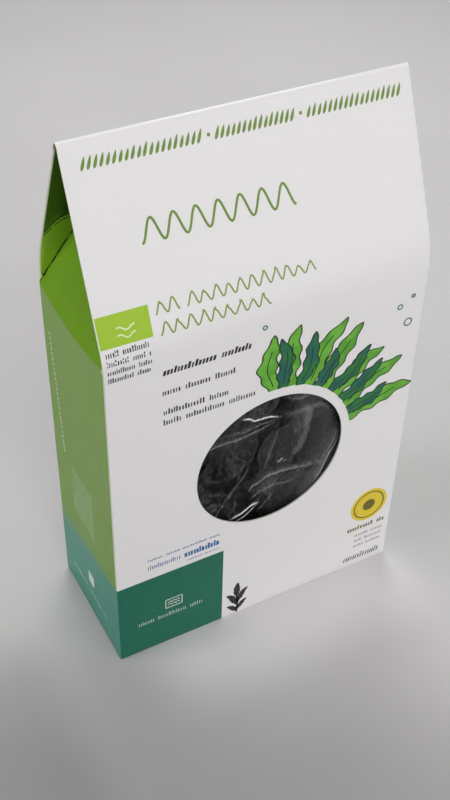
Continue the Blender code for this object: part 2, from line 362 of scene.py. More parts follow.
def cut(target, *cutters):
    """Cuts target with each cutter, which leaves its material on the cut, and removes the cutters."""
    for cutter in cutters:
        modifier = target.modifiers.new(cutter.name, "BOOLEAN")
        modifier.object = cutter
        modifier.solver = "EXACT"
        modifier.material_mode = "TRANSFER"
    graph = bpy.context.evaluated_depsgraph_get()
    mesh = bpy.data.meshes.new_from_object(target.evaluated_get(graph))
    target.modifiers.clear()
    target.data = mesh
    for cutter in cutters:
        bpy.data.objects.remove(cutter)


def finish_piece(made, slot, *nodes):
    """Ties a piece to the frame: its body and the nodes that it stands for. The argument slot is not used.
    """
    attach(made, "root")
    if nodes:
        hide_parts(*nodes)


# Materials


class Shader:
    """A Principled material with short calls for the nodes that feed it."""

    def __init__(self, name, colour, roughness, **sockets):
        self.material = bpy.data.materials.new(name)
        self.material.use_nodes = True
        self.tree = self.material.node_tree
        self.principled = self.tree.nodes["Principled BSDF"]
        self.feed(self.principled, Base_Color=srgb(colour), Roughness=roughness, **sockets)
        self.place = self.node("TexCoord").outputs["Object"]
        self.x, self.y, self.z = self.node("SeparateXYZ", Vector=self.place).outputs

    def join(self, socket, value):
        """Gives a socket a value, or a link from another node's output."""
        if hasattr(value, "is_output"):
            self.tree.links.new(value, socket)
        else:
            socket.default_value = value

    def feed(self, node, **sockets):
        for name, value in sockets.items():
            self.join(node.inputs[name.replace("_", " ")], value)

    def node(self, kind, **sockets):
        made = self.tree.nodes.new(f"ShaderNode{kind}")
        self.feed(made, **sockets)
        return made

    def math(self, operation, *values, clamped=False):
        node = self.node("Math")
        node.operation = operation
        node.use_clamp = clamped
        for socket, value in zip(node.inputs, values):
            self.join(socket, value)
        return node.outputs[0]

    def times(self, *values):
        return self.math("MULTIPLY", *values)

    def rest(self, share):
        """What a share leaves of 1."""
        return self.math("SUBTRACT", 1.0, share)

    def distance(self, place=(0.0, 0.0, 0.0)):
        """Distance in metres from a place."""
        node = self.node("VectorMath")
        node.operation = "DISTANCE"
        self.join(node.inputs[0], self.place)
        self.join(node.inputs[1], place)
        return node.outputs["Value"]

    def noise(self, scale, detail=3.0, stretch=None, roughness=0.5):
        """Noise from 0 to 1 with features about 1 / scale metres wide."""
        place = self.place
        if stretch:
            place = self.node("Mapping", Vector=place, Scale=stretch).outputs[0]
        node = self.node("TexNoise", Vector=place, Scale=scale, Detail=detail, Roughness=roughness)
        return node.outputs[0]

    def mix(self, share, first, second):
        """A colour between two, each an sRGB triple or another node's colour."""
        node = self.node("Mix")
        node.data_type = "RGBA"
        self.feed(node, Factor=share)
        colours = [socket for socket in node.inputs if socket.type == "RGBA"]
        for socket, value in zip(colours, (first, second)):
            self.join(socket, value if hasattr(value, "is_output") else srgb(value))
        return [socket for socket in node.outputs if socket.type == "RGBA"][0]

    def speckled(self, first, second, low, high, *pattern):
        """First in the hollows of a noise and second on its crests."""
        return self.mix(self.ramp(self.noise(*pattern), low, high), first, second)

    def scaled(self, colour, factor):
        """A colour times a number."""
        node = self.node("VectorMath")
        node.operation = "SCALE"
        self.join(node.inputs[0], colour)
        self.feed(node, Scale=factor)
        return node.outputs[0]

    def ramp(self, value, low, high):
        """0 below low, 1 above high and level ends between."""
        node = self.node("MapRange", Value=value, From_Min=low, From_Max=high)
        node.interpolation_type = "SMOOTHSTEP"
        return node.outputs[0]

    def colour(self, value):
        self.feed(self.principled, Base_Color=value)

    def bump(self, height, distance):
        node = self.node("Bump", Height=height, Distance=distance, Strength=1.0)
        self.feed(self.principled, Normal=node.outputs[0])


def board_bump(shader):
    """The faint unevenness of coated board: long soft waves and a fine tooth."""
    waves = shader.noise(18, 0.0)
    tooth = shader.noise(2600, 2.0)
    height = shader.math("ADD", waves, shader.times(tooth, 0.06))
    shader.bump(height, 0.06 * MM)


def front_material():
    """White coated board with teal in the front's lower left corner and along the foot of the back."""
    shader = Shader("print_front", WHITE, 0.42, Specular_IOR_Level=0.35)
    inside_x = shader.math("LESS_THAN", shader.x, TEAL_BLOCK_RIGHT * MM)
    inside_z = shader.math("LESS_THAN", shader.z, TEAL_BLOCK_TOP * MM)
    front = shader.math("LESS_THAN", shader.y, 0.0)
    block = shader.times(shader.times(inside_x, inside_z), front)
    low = shader.math("LESS_THAN", shader.z, TEAL_BACK_TOP * MM)
    block = shader.math("ADD", block, shader.times(low, shader.rest(front)))
    white = shader.speckled(WHITE, (238, 236, 236), 0.3, 0.7, 1400)
    teal = shader.speckled(TEAL, (26, 112, 88), 0.3, 0.7, 1400)
    shader.colour(shader.mix(block, white, teal))
    board_bump(shader)
    return shader.material


def side_green(shader, green=SIDE_GREEN):
    """Green over teal on a side panel, with a boundary that sinks and softens towards the back; the teal is
    paled by a painted sheen.
    """
    boundary = shader.math("MULTIPLY_ADD", shader.y, -0.136, 33.3 * MM)
    softness = shader.math("MULTIPLY_ADD", shader.y, 0.22, 6.8 * MM)
    offset = shader.math("DIVIDE", shader.math("SUBTRACT", shader.z, boundary), softness)
    share = shader.math("ADD", offset, 0.5, clamped=True)
    return shader.mix(share, SIDE_TEAL_AND_SHEEN, green)


def buckle_height(x):
    """Height in millimetres of the buckle's crease on the back left flank, from x in millimetres."""
    along = x + BUCKLE_START
    return BUCKLE_LOW + (BUCKLE_SLOPE + BUCKLE_BEND * along) * along


def scuffed(shader):
    """A share of 1 where bare board shows in small frayed nicks on the folds."""
    frayed = shader.math("MULTIPLY_ADD", shader.noise(2200, 3.0), 1.6, -0.8)
    total = 0.0
    for place in SCUFFS:
        distance = shader.distance([value * MM for value in place])
        reach = shader.math("DIVIDE", distance, SCUFF_RADIUS)
        spot = shader.rest(shader.math("ADD", reach, frayed))
        total = shader.math("ADD", shader.math("MULTIPLY", spot, 4.0, clamped=True), total)
    return total


def nicked(shader, colour):
    """The printed colour, with bare board in the nicks."""
    shader.colour(shader.mix(scuffed(shader), colour, BARE_NICK))


def green_mottle(shader):
    """Slow unevenness of the green print."""
    return shader.ramp(shader.noise(150, 4.0), 0.25, 0.75)


def flank_material():
    """The flanks of the gussets: painted shade deep in the fold above the buckle, a lighter green below it
    as painted light, and painted shade in two dark broken lines along the buckle's crease.
    """
    shader = Shader("print_flank", GUSSET_GREEN, 0.6, Specular_IOR_Level=0.12)
    along = shader.math("MULTIPLY_ADD", shader.x, 1 / MM, BUCKLE_START)
    rise = shader.times(shader.math("MULTIPLY_ADD", along, BUCKLE_BEND, BUCKLE_SLOPE), along)
    above = shader.math("SUBTRACT", shader.math("MULTIPLY_ADD", shader.z, 1 / MM, -BUCKLE_LOW), rise)
    above = shader.math("ADD", above, shader.math("MULTIPLY_ADD", shader.noise(700, 2.0), 0.8, -0.4))
    # Painted light below the buckle: the flank's green, lighter than the gusset's
    green = side_green(shader, FLANK_LIT_GREEN)
    # Painted shade above the buckle, darker further into the fold
    inward = shader.ramp(shader.math("ABSOLUTE", shader.x), 52 * MM, 46 * MM)
    shade = shader.mix(inward, FLANK_SHADE, FLANK_DEEP_SHADE)
    deep = shader.mix(shader.ramp(above, 0.1, 1.4), green, shade)
    # Painted shade: two dark lines along the buckle's crease, broken by noise
    crease_shade = shader.rest(shader.ramp(shader.math("ABSOLUTE", above), 0.15, 0.36))
    second = shader.math("ABSOLUTE", shader.math("SUBTRACT", above, 1.5))
    second = shader.rest(shader.ramp(second, 0.1, 0.3))
    crease_shade = shader.math("MAXIMUM", crease_shade, second)
    crease_shade = shader.times(crease_shade, shader.ramp(shader.noise(500, 2.0), 0.3, 0.5))
    nicked(shader, shader.mix(crease_shade, deep, CREASE_SHADE_GREEN))
    board_bump(shader)
    return shader.material


def crease_shade_material():
    """Painted shade: the dark line where a flank folds against its gusset, broken here and there."""
    shader = Shader("fold_line_shade", CREASE_SHADE_GREEN, 0.7, Specular_IOR_Level=0.2)
    nicked(shader, shader.speckled(CREASE_SHADE_GREEN, SIDE_GREEN, 0.5, 0.62, 420))
    return shader.material


def gusset_material():
    """The same green where a side panel folds in, seen squarely and so without a sheen."""
    shader = Shader("print_gusset", GUSSET_GREEN, 0.6, Specular_IOR_Level=0.15)
    nicked(shader, shader.mix(green_mottle(shader), GUSSET_GREEN, (110, 155, 24)))
    board_bump(shader)
    return shader.material


def side_material():
    """Glossy green over teal."""
    shader = Shader("print_side", SIDE_GREEN, 0.4)
    darker = shader.math("MULTIPLY_ADD", green_mottle(shader), 0.08, 0.92)
    nicked(shader, shader.scaled(side_green(shader), darker))
    board_bump(shader)
    return shader.material


def fold_material():
    """A worn fold: print over teal, and pale board where the white front begins."""
    shader = Shader("worn_fold", BOARD_EDGE, 0.55)
    worn = shader.ramp(shader.noise(700, 3.0), 0.16, 0.3)
    green = side_green(shader)
    above_block = shader.ramp(shader.z, TEAL_BLOCK_TOP * MM, (TEAL_BLOCK_TOP + 0.6) * MM)
    share = shader.times(worn, above_block)
    share = shader.math("MAXIMUM", share, scuffed(shader))
    tip = shader.ramp(shader.z, 184.5 * MM, 186.5 * MM)
    roof = shader.ramp(shader.z, SHOULDER_HEIGHT, SHOULDER_HEIGHT + 3 * MM)
    pale = shader.mix(roof, (204, 211, 190), (226, 232, 212))
    pale = shader.mix(tip, pale, (150, 140, 122))
    shader.colour(shader.mix(share, green, pale))
    return shader.material


def edge_material():
    """The cut edge of the board, with its fibres."""
    shader = Shader("board_edge", BOARD_EDGE, 0.8)
    shader.colour(shader.speckled(BOARD_EDGE, (196, 190, 180), 0.35, 0.65, 2400, 2.0, (1, 6, 1)))
    return shader.material


def inside_material():
    """The uncoated inner side of the board."""
    shader = Shader("board_inside", BOARD_INSIDE, 0.85)
    shader.colour(shader.speckled(BOARD_INSIDE, (128, 122, 112), 0.4, 0.75, 1500))
    shader.bump(shader.noise(1800, 3.0), 0.05 * MM)
    return shader.material


def ink_material(name, colour, second=None):
    """Print with a faint unevenness of tone, or in washes of two colours."""
    shader = Shader(f"ink_{name}", colour, 0.45)
    if second:
        shader.colour(shader.speckled(colour, second, 0.38, 0.62, 130, 2.0))
    else:
        paler = tuple(min(255, value + 5) for value in colour)
        shader.colour(shader.speckled(colour, paler, 0.35, 0.7, 1200, 2.0))
    return shader.material


def film_material():
    """Clear film: a faint dim mirror where it lies flat, and painted white on its creases and hazy patches,
    as painted highlights and painted reflections, with some real scattering.
    """
    shader = Shader("clear_film", FILM_HIGHLIGHT_WHITE, 0.3, Specular_IOR_Level=0.08)
    highlight_and_haze = shader.node("Attribute")
    highlight_and_haze.attribute_name = "highlight_and_haze"
    value = highlight_and_haze.outputs["Fac"]
    mottle = shader.math("MULTIPLY_ADD", shader.noise(500, 2.0, (1.0, 1.0, 0.5)), 0.6, 0.7)
    share = shader.math("ADD", shader.times(value, mottle), FILM_GLOSS, clamped=True)
    mirror = shader.math("SUBTRACT", 1.0, shader.math("DIVIDE", value, share), clamped=True)
    shader.feed(shader.principled, Alpha=share, Metallic=mirror)
    shader.colour(shader.mix(mirror, FILM_HIGHLIGHT_WHITE, FILM_MIRROR))
    shader.bump(shader.noise(900, 2.0, (1.0, 1.0, 0.4)), 0.03 * MM)
    return shader.material


def seaweed_material(name, dark, light):
    """Dried wakame: nearly black, paler where it is thin, with grey lines along its wrinkles."""
    shader = Shader(name, dark, 0.4, Specular_IOR_Level=0.4)
    colour = shader.speckled(dark, light, 0.35, 0.68, 140, 4.0)
    for scale, stretch, strength in ((170, (1.0, 1.0, 0.25), 0.32), (420, (1.0, 1.0, 0.35), 0.2)):
        away = shader.math("ABSOLUTE", shader.math("SUBTRACT", shader.noise(scale, 1.5, stretch), 0.5))
        line = shader.rest(shader.ramp(away, 0.0, 0.022))
        colour = shader.mix(shader.times(line, strength), colour, WRINKLE_GREY)
    shader.colour(colour)
    shader.bump(shader.noise(450, 4.0, (1.0, 1.0, 0.5), 0.6), 0.8 * MM)
    return shader.material


def floor_material():
    """Pale paper with painted light and shade: a little lighter along the white front as a painted pool of
    light, darker towards the front left as painted shade, and glowing far off as painted light.
    """
    shader = Shader("paper_floor", FLOOR_GREY, 0.8, Specular_IOR_Level=0.2)
    tone = shader.speckled(FLOOR_GREY, FLOOR_GREY_LOW, 0.3, 0.7, 9, 2.0)
    forward = shader.times(shader.y, -1.0)
    towards_left = shader.math("MULTIPLY_ADD", shader.x, -0.7, forward)
    # Painted shade: darker towards the front left, and darker still beside the carton's left corner
    shade = shader.times(shader.ramp(towards_left, 25 * MM, 125 * MM), -0.30)
    off_corner = shader.ramp(shader.x, -68 * MM, -90 * MM)
    corner = shader.times(off_corner, shader.ramp(forward, -15 * MM, 15 * MM))
    shade = shader.math("MULTIPLY_ADD", corner, -0.15, shade)
    # Painted light: a lighter band on the floor just in front of the white front, standing in for light
    # bounced off it
    near_front = shader.rest(shader.ramp(forward, 34 * MM, 66 * MM))
    near_front = shader.times(near_front, shader.ramp(forward, 0.0, 20 * MM))
    off_left = shader.ramp(shader.x, -56 * MM, -26 * MM)
    off_right = shader.rest(shader.ramp(shader.x, 40 * MM, 70 * MM))
    painted_light_spill = shader.times(shader.times(off_left, off_right), near_front)
    factor = shader.math("ADD", shader.math("MULTIPLY_ADD", painted_light_spill, 0.34, 1.08), shade)
    shader.colour(shader.scaled(tone, factor))
    # Painted glow: the floor far off emits light
    glow = shader.ramp(shader.distance(), FLOOR_PAINTED_GLOW_START, FLOOR_PAINTED_GLOW_END)
    strength = shader.times(glow, FLOOR_PAINTED_GLOW)
    shader.feed(shader.principled, Emission_Color=(1.0, 1.0, 1.0, 1.0), Emission_Strength=strength)
    return shader.material


# Carton


class Panel:
    """A front or back panel that bends softly into its roof panel, differently at its two ends."""

    def __init__(self, side, corner_heights, tangents):
        self.side = side
        self.corner_heights = corner_heights
        self.tangents = tangents

    def half_depth(self, x, z):
        """Distance of the panel's outer face from the carton's middle plane."""
        share = clamp(x / WIDTH + 0.5)
        corner = between(*self.corner_heights, share)
        tangent = between(*self.tangents, share)
        lean = math.atan((HALF_DEPTH - RIDGE_HALF) / (RIDGE_HEIGHT - corner))
        radius = tangent / math.tan(lean / 2)
        rise = z - (corner - tangent)
        arc_rise = radius * math.sin(lean)
        if rise <= 0:
            depth = HALF_DEPTH
        elif rise <= arc_rise:
            depth = HALF_DEPTH - radius + math.sqrt(radius**2 - rise**2)
        else:
            depth = HALF_DEPTH - radius + radius * math.cos(lean) - math.tan(lean) * (rise - arc_rise)
        over = (z - (RIDGE_HEIGHT - RIDGE_ROUND)) / RIDGE_ROUND
        if over > 0:
            depth *= math.sqrt(max(0.0, 1 - (0.94 * min(over, 1.0)) ** 2))
        return depth - base_inset(z)

    def place(self, x, z, lift=0.0):
        """A point on the panel's outer face, or lift above it along the face's normal."""
        step = 0.2 * MM
        slope = (self.half_depth(x, z + step) - self.half_depth(x, z - step)) / (2 * step)
        length = math.sqrt(1 + slope * slope)
        depth = self.half_depth(x, z) + lift / length
        return Vector((x, self.side * depth, z - lift * slope / length))


FRONT = Panel(-1, (132.3 * MM, 137.5 * MM), (3 * MM, 9 * MM))
BACK = Panel(1, (138.0 * MM, 134.0 * MM), (10 * MM, 6 * MM))


def base_inset(z):
    """How far the outline steps in where it rounds into the base."""
    if z >= BASE_ROUND:
        return 0.0
    return BASE_ROUND - math.sqrt(BASE_ROUND**2 - (BASE_ROUND - z) ** 2)


def side_dish(y, z):
    """How far a side panel sinks in: a slight dish with soft unevenness."""
    edge = clamp(1 - (2 * y / DEPTH) ** 2) * clamp(z / (20 * MM)) * clamp((SHOULDER_HEIGHT - z) / (12 * MM))
    waves = noise.noise(Vector((y * 45, z * 26, 3.1)))
    return edge * (0.28 + 0.22 * waves) * MM


def flank_spread(side, panel, x, along, z):
    """How far a folded flank stands off its roof panel at x, a share along of its way in, at a height.

    The back left flank has sprung out into a buckle: it opens slowly up to a crease and shuts sharply above.
    """
    rise = clamp((z - SHOULDER_HEIGHT) / (RIDGE_HEIGHT - SHOULDER_HEIGHT))
    spread = 0.25 * math.sin(math.pi * along) * math.sin(math.pi * rise) * MM
    if side < 0 and panel is BACK:
        crease = buckle_height(-x / MM) * MM
        opening = (z - SHOULDER_HEIGHT) / BUCKLE_OPEN
        shutting = 1 - (z - crease) / BUCKLE_SHUT
        opened = smooth(opening if z < crease else shutting)
        spread += BUCKLE_DEPTH * opened * (0.25 + 0.75 * along)
    return spread


def corner_run(side, panel, z):
    """Points round a vertical fold and in along the flank behind it, from the panel's end to the gusset."""
    inset = base_inset(z)
    depth = panel.half_depth(side * WIDTH / 2, z)
    radius = min(FOLD_RADIUS, (depth - 0.02 * MM) / 2)
    turn = clamp((z - SHOULDER_HEIGHT) / FOLD_TURN_HEIGHT)
    centre_x = WIDTH / 2 - SKIN_INSET - inset - radius
    centre_y = depth - radius
    points = []
    for i in range(FOLD_STEPS + 1):
        angle = math.pi / 2 * (1 + turn) * i / FOLD_STEPS
        points.append((centre_x + radius * math.sin(angle), centre_y + radius * math.cos(angle)))
    start_x, start_y = points[-1]
    end_x, end_y = start_x, start_y
    if z > SHOULDER_HEIGHT:
        rise = (z - SHOULDER_HEIGHT) / (RIDGE_HEIGHT - SHOULDER_HEIGHT)
        end_x = WIDTH / 2 - SKIN_INSET - GUSSET_REACH * rise
        end_y = depth - radius - radius * turn
    line = clamp(FOLD_SHADE_LINE_WIDTH / max(start_x - end_x, 1e-6), 0.0, 0.5)
    for i in range(1, FLANK_STEPS + 1):
        along = (1 - line) * i / (FLANK_STEPS - 1) if i < FLANK_STEPS else 1.0
        x = between(start_x, end_x, along)
        y = between(start_y, end_y, along)
        y = max(y - turn * flank_spread(side, panel, x, along, z), min(y, 0.01 * MM))
        crease = GUSSET_CREASE_DEPTH * clamp((end_y - 1.5 * MM) / MM) * turn if i == FLANK_STEPS else 0.0
        waver = 0.5 + noise.noise(Vector((z * 260, 7.0, side * panel.side)))
        points.append((x - crease * waver, y))
    return [Vector((side * x, panel.side * y, z)) for x, y in points]


def side_run(side, front_end, back_end, z):
    """Points across a side panel or, above the shoulder, across its gusset."""
    rise = clamp((z - SHOULDER_HEIGHT) / (RIDGE_HEIGHT - SHOULDER_HEIGHT))
    ramp = smooth((z - GUSSET_DIP_START) / (SHOULDER_HEIGHT - GUSSET_DIP_START)) * (1 - rise)
    points = []
    for i in range(1, SIDE_STEPS):
        share = i / SIDE_STEPS
        across = 2 * share - 1
        y = between(front_end.y, back_end.y, share)
        x = between(front_end.x, back_end.x, share) - side * side_dish(y, z)
        points.append(Vector((x, y, z - GUSSET_ARC_DIP * (1 - across**2) * ramp)))
    return points


BOARD_MATERIALS = (
    front_material, side_material, fold_material, flank_material, crease_shade_material, gusset_material,
)
FRONT_INDEX, SIDE_INDEX, FOLD_INDEX, FLANK_INDEX, CREASE_SHADE_INDEX, GUSSET_INDEX = range(len(BOARD_MATERIALS))


def carton_ring(z):
    """One ring of the carton's outer skin, with the material index of the face after each point."""
    end = WIDTH / 2 - SKIN_INSET - base_inset(z) - FOLD_RADIUS
    runs = {(side, panel): corner_run(side, panel, z) for side in (-1, 1) for panel in (FRONT, BACK)}
    front_right, back_right = runs[1, FRONT], runs[1, BACK]
    front_left, back_left = runs[-1, FRONT], runs[-1, BACK]
    xs = [between(-end, end, i / PANEL_STEPS) for i in range(1, PANEL_STEPS)]
    fold = [FRONT_INDEX] * 2 + [FOLD_INDEX] * 4 + [FLANK_INDEX] * (FLANK_STEPS - 1) + [CREASE_SHADE_INDEX]
    ring = [(Vector((x, -FRONT.half_depth(x, z), z)), FRONT_INDEX) for x in xs]
    ring += list(zip(front_right, fold + [SIDE_INDEX]))
    ring += [(point, SIDE_INDEX) for point in side_run(1, front_right[-1], back_right[-1], z)]
    ring += list(zip(reversed(back_right), fold[::-1] + [FRONT_INDEX]))
    ring += [(Vector((x, BACK.half_depth(x, z), z)), FRONT_INDEX) for x in reversed(xs)]
    ring += list(zip(back_left, fold + [SIDE_INDEX]))
    ring += [(point, SIDE_INDEX) for point in side_run(-1, back_left[-1], front_left[-1], z)]
    ring += list(zip(reversed(front_left), fold[::-1] + [FRONT_INDEX]))
    return ring


def heights(low, high, step):
    """Evenly spaced heights in millimetres, both ends included."""
    count = round((high - low) / step)
    return [low + (high - low) * i / count for i in range(count + 1)]


def carton_rows():
    rows = [0.0, 0.04, 0.15, 0.5] + heights(4, 112, 4) + heights(113, 129, 1)
    rows += [129.5, 130, 130.4, 130.8, 131.2, 131.6] + heights(132, 148, 1)
    rows += heights(148.5, 163, 0.5) + heights(164, 184, 2)
    rows += [185.5, 186.6, 187.1, 187.4, 187.7, 187.9, 188.0]
    return [row * MM for row in rows]


def lofted(name, rings, face_material=None):
    """A closed body through rings of equal length; face_material gives the index by row and column."""
    count = len(rings[0])
    points = [point for ring in rings for point in ring]
    faces = [tuple(range(count)), tuple(range(len(points) - count, len(points)))]
    indices = [0, 0]
    for k in range(len(rings) - 1):
        for i in range(count):
            j = (i + 1) % count
            faces.append((k * count + i, k * count + j, (k + 1) * count + j, (k + 1) * count + i))
            indices.append(face_material(k, i) if face_material else 0)
    made = plain_mesh(name, points, faces)
    made.data.polygons.foreach_set("material_index", indices)
    return made


def carton_cavity():
    """The room inside the carton."""
    rows = [1.0, 20, 60, 100] + heights(118, 154, 2) + [160, 170, 180, 184]
    columns = 16
    rings = []
    for z in (row * MM for row in rows):
        end = WIDTH / 2 - SKIN_INSET - 1.6 * BOARD
        if z > CAVITY_NARROWS:
            rise = (z - CAVITY_NARROWS) / (RIDGE_HEIGHT - CAVITY_NARROWS)
            end -= GUSSET_REACH * rise + 0.6 * MM
        xs = [between(-end, end, i / columns) for i in range(columns + 1)]
        ring = [(x, -FRONT.half_depth(x, z) + 1.1 * BOARD, z) for x in xs]
        ring += [(x, BACK.half_depth(x, z) - 1.1 * BOARD, z) for x in reversed(xs)]
        rings.append(ring)
    cavity = lofted("cavity", rings)
    cavity.data.materials.append(inside_material())
    tidy_mesh(cavity)
    return cavity


def window_punch():
    """An oval punch through the front panel, which leaves a cut edge."""
    rim = []
    for a, b in circle(0.0, 0.0, 1.0, 160):
        rim.append((WINDOW_CENTRE[0] + WINDOW_HALF_WIDTH * a, WINDOW_CENTRE[1] + WINDOW_HALF_HEIGHT * b))
    punch = lofted("window_punch", [[(x, y, z) for x, z in rim] for y in (-40 * MM, -20 * MM)])
    punch.data.materials.append(edge_material())
    tidy_mesh(punch)
    return punch


def box_cutter(name, low, high):
    corners = [[low[0], high[0]], [low[1], high[1]], [low[2], high[2]]]
    points = [(x, y, z) for x in corners[0] for y in corners[1] for z in corners[2]]
    faces = [(0, 1, 3, 2), (4, 6, 7, 5), (0, 4, 5, 1), (2, 3, 7, 6), (0, 2, 6, 4), (1, 5, 7, 3)]
    made = plain_mesh(name, points, faces)
    made.data.materials.append(bpy.data.materials["board_edge"])
    tidy_mesh(made)
    return made


def make_carton():
    """The carton's board, with its soft bends, folded gussets and window."""
    levels = carton_rows()
    rows = [carton_ring(z) for z in levels]
    rings = [[point for point, _ in ring] for ring in rows]

    def face_material(row, column):
        index = rows[0][column][1]
        return GUSSET_INDEX if index == SIDE_INDEX and levels[row] >= SHOULDER_HEIGHT - 1e-6 else index

    carton = lofted("carton_board", rings, face_material)
    for make_material in BOARD_MATERIALS:
        carton.data.materials.append(make_material())
    tidy_mesh(carton)
    carton.data.shade_smooth()
    punch = window_punch()
    half = WIDTH / 2 - 1.5 * MM
    groove = box_cutter("flap_edge", (-half, -18.6 * MM, -1 * MM), (half, -18.0 * MM, 0.3 * MM))
    left = box_cutter("flap_left", (-half, -18.3 * MM, -1 * MM), (-half + 0.4 * MM, 22 * MM, 0.25 * MM))
    right = box_cutter("flap_right", (half - 0.4 * MM, -18.3 * MM, -1 * MM), (half, 22 * MM, 0.25 * MM))
    cut(carton, carton_cavity(), punch, groove, left, right)
    carton.data.set_sharp_from_angle(angle=math.radians(38))
    finish_piece(carton, "carton", "carton")


# Print on the board


def side_place(side, y, z, lift=0.0):
    """A point on a side panel's outer face, or lift above it."""
    share = y / DEPTH + 0.5
    ramp = smooth((z - GUSSET_DIP_START) / (SHOULDER_HEIGHT - GUSSET_DIP_START))
    row = z + GUSSET_ARC_DIP * (1 - (2 * share - 1) ** 2) * ramp
    x = WIDTH / 2 - SKIN_INSET - side_dish(y, row)
    return Vector((side * (x + lift), y, z))


class Print:
    """A sheet of ink made of many thin closed patches that follow a face of the carton."""

    def __init__(self, name, colour, place=FRONT.place, lift=INK_LIFT, second=None):
        self.name = f"print_{name}"
        self.colours = (colour, second)
        self.place = place
        self.lift = lift
        self.points = []
        self.faces = []

    def patch(self, outline):
        """A patch from its outline in millimetres on the face."""
        start = len(self.points)
        count = len(outline)
        for depth in (self.lift, -INK_ROOT):
            self.points += [self.place(a * MM, b * MM, depth) for a, b in outline]
        top = list(range(start, start + count))
        root = [index + count for index in top]
        self.faces += [tuple(top), tuple(reversed(root))]
        for i in range(count):
            j = (i + 1) % count
            self.faces.append((top[i], root[i], root[j], top[j]))

    def block(self, low, high, cell=2.0):
        """An upright rectangle in cells small enough to follow a bend, joined into one patch."""
        columns = max(1, math.ceil((high[0] - low[0]) / cell))
        rows = max(1, math.ceil((high[1] - low[1]) / cell))
        start = len(self.points)
        for depth in (self.lift, -INK_ROOT):
            for i in range(columns + 1):
                for j in range(rows + 1):
                    a = between(low[0], high[0], i / columns)
                    b = between(low[1], high[1], j / rows)
                    self.points.append(self.place(a * MM, b * MM, depth))
        self.faces += closed_grid(start, columns + 1, rows + 1)

    def stroke(self, line, width):
        """A line of even width through points."""
        left, right = [], []
        for i, (a, b) in enumerate(line):
            before = line[max(i - 1, 0)]
            after = line[min(i + 1, len(line) - 1)]
            run, rise = after[0] - before[0], after[1] - before[1]
            length = math.hypot(run, rise) or 1.0
            across = (-rise / length * width / 2, run / length * width / 2)
            left.append((a + across[0], b + across[1]))
            right.append((a - across[0], b - across[1]))
        self.ribbon(left, right)

    def ribbon(self, left, right):
        """A closed strip between two lines of points."""
        start = len(self.points)
        count = len(left)
        for depth in (self.lift, -INK_ROOT):
            for line in (left, right):
                self.points += [self.place(a * MM, b * MM, depth) for a, b in line]
        for i in range(count - 1):
            a, b = start + i, start + count + i
            c, d = a + 2 * count, b + 2 * count
            self.faces += [(a, b, b + 1, a + 1), (c + 1, d + 1, d, c)]
            self.faces += [(a, a + 1, c + 1, c), (b + 1, b, d, d + 1)]
        for i in (0, count - 1):
            self.faces.append((start + i, start + count + i, start + 3 * count + i, start + 2 * count + i))

    def leaves(self, draw, x0, x1, base, height, width, step, slant):
        """A border of small slanting leaf shapes."""
        count = round((x1 - x0) / step)
        for i in range(count):
            middle = between(x0, x1, (i + 0.5) / count)
            tall = height * draw.uniform(0.8, 1.0)
            outline = []
            for j in range(14):
                angle = 2 * math.pi * j / 14
                rise = 0.5 - 0.5 * math.cos(angle)
                swell = width / 2 * math.sin(angle) * (0.72 + 0.28 * math.cos(angle))
                outline.append((middle + swell + slant * (rise - 0.5) * tall, base + rise * tall))
            self.patch(outline)

    def words(self, draw, x0, x1, base, height, stroke, gap, slant=0.0):
        """A line of plain upright strokes in word-like runs, in place of lettering."""
        x = x0
        while x < x1 - stroke:
            for _ in range(draw.randint(6, 16)):
                if x > x1 - stroke:
                    break
                wide = stroke * draw.uniform(0.8, 1.35)
                top = height * draw.choice((0.72, 0.72, 0.72, 1.0))
                foot = [(x, base), (x + wide, base)]
                self.patch(foot + [(a + slant * top, base + top) for a, _ in reversed(foot)])
                x += wide + gap * draw.uniform(0.75, 1.3)
            x += 2.2 * gap + stroke

    def wave(self, draw, x0, x1, base, height, length, width, uneven=0.0):
        """A thin wavy line, in place of large or hand-drawn lettering."""
        count = max(8, round((x1 - x0) / length * 16))
        line = []
        swell = 1.0
        for i in range(count + 1):
            if i % 8 == 0:
                swell = 1 - uneven * draw.random()
            x = between(x0, x1, i / count)
            crest = 0.5 - 0.5 * math.cos(2 * math.pi * (x - x0) / length)
            line.append((x, base + height * (crest * swell)))
        self.stroke(line, width)

    def make(self):
        made = plain_mesh(self.name, self.points, self.faces)
        made.data.materials.append(ink_material(self.name, *self.colours))
        tidy_mesh(made, 1e-8)
        finish_piece(made, "carton")


def ring_band(sheet, x, z, radius, width, steps=48):
    """A ring of ink."""
    outer = circle(x, z, radius, steps)
    inner = circle(x, z, radius - width, steps)
    for i in range(steps):
        j = (i + 1) % steps
        sheet.patch([outer[i], outer[j], inner[j], inner[i]])


def make_header_print(draw):
    """The header line, the large thin line and the two hand-drawn lines on the roof."""
    header = Print("header", OLIVE)
    for start, end in HEADER_RUNS:
        header.leaves(draw, start, end, 180.6, 3.6, 1.35, 1.75, 0.42)
    for dot in (-12.1, 16.9):
        header.patch(circle(dot, 182.2, 0.5, 16))
    header.make()
    title = Print("title", OLIVE)
    title.wave(draw, -36.8, 11.3, 159.7, 6.2, 6.87, 0.72)
    title.make()
    hand = Print("hand_lines", HAND_OLIVE)
    hand.wave(draw, -36.9, -29.5, 141.2, 3.8, 3.7, 0.5, 0.4)
    hand.wave(draw, -27.2, 14.4, 141.2, 3.8, 3.8, 0.5, 0.45)
    hand.wave(draw, -36.5, -1.3, 135.4, 3.8, 3.9, 0.5, 0.45)
    hand.make()


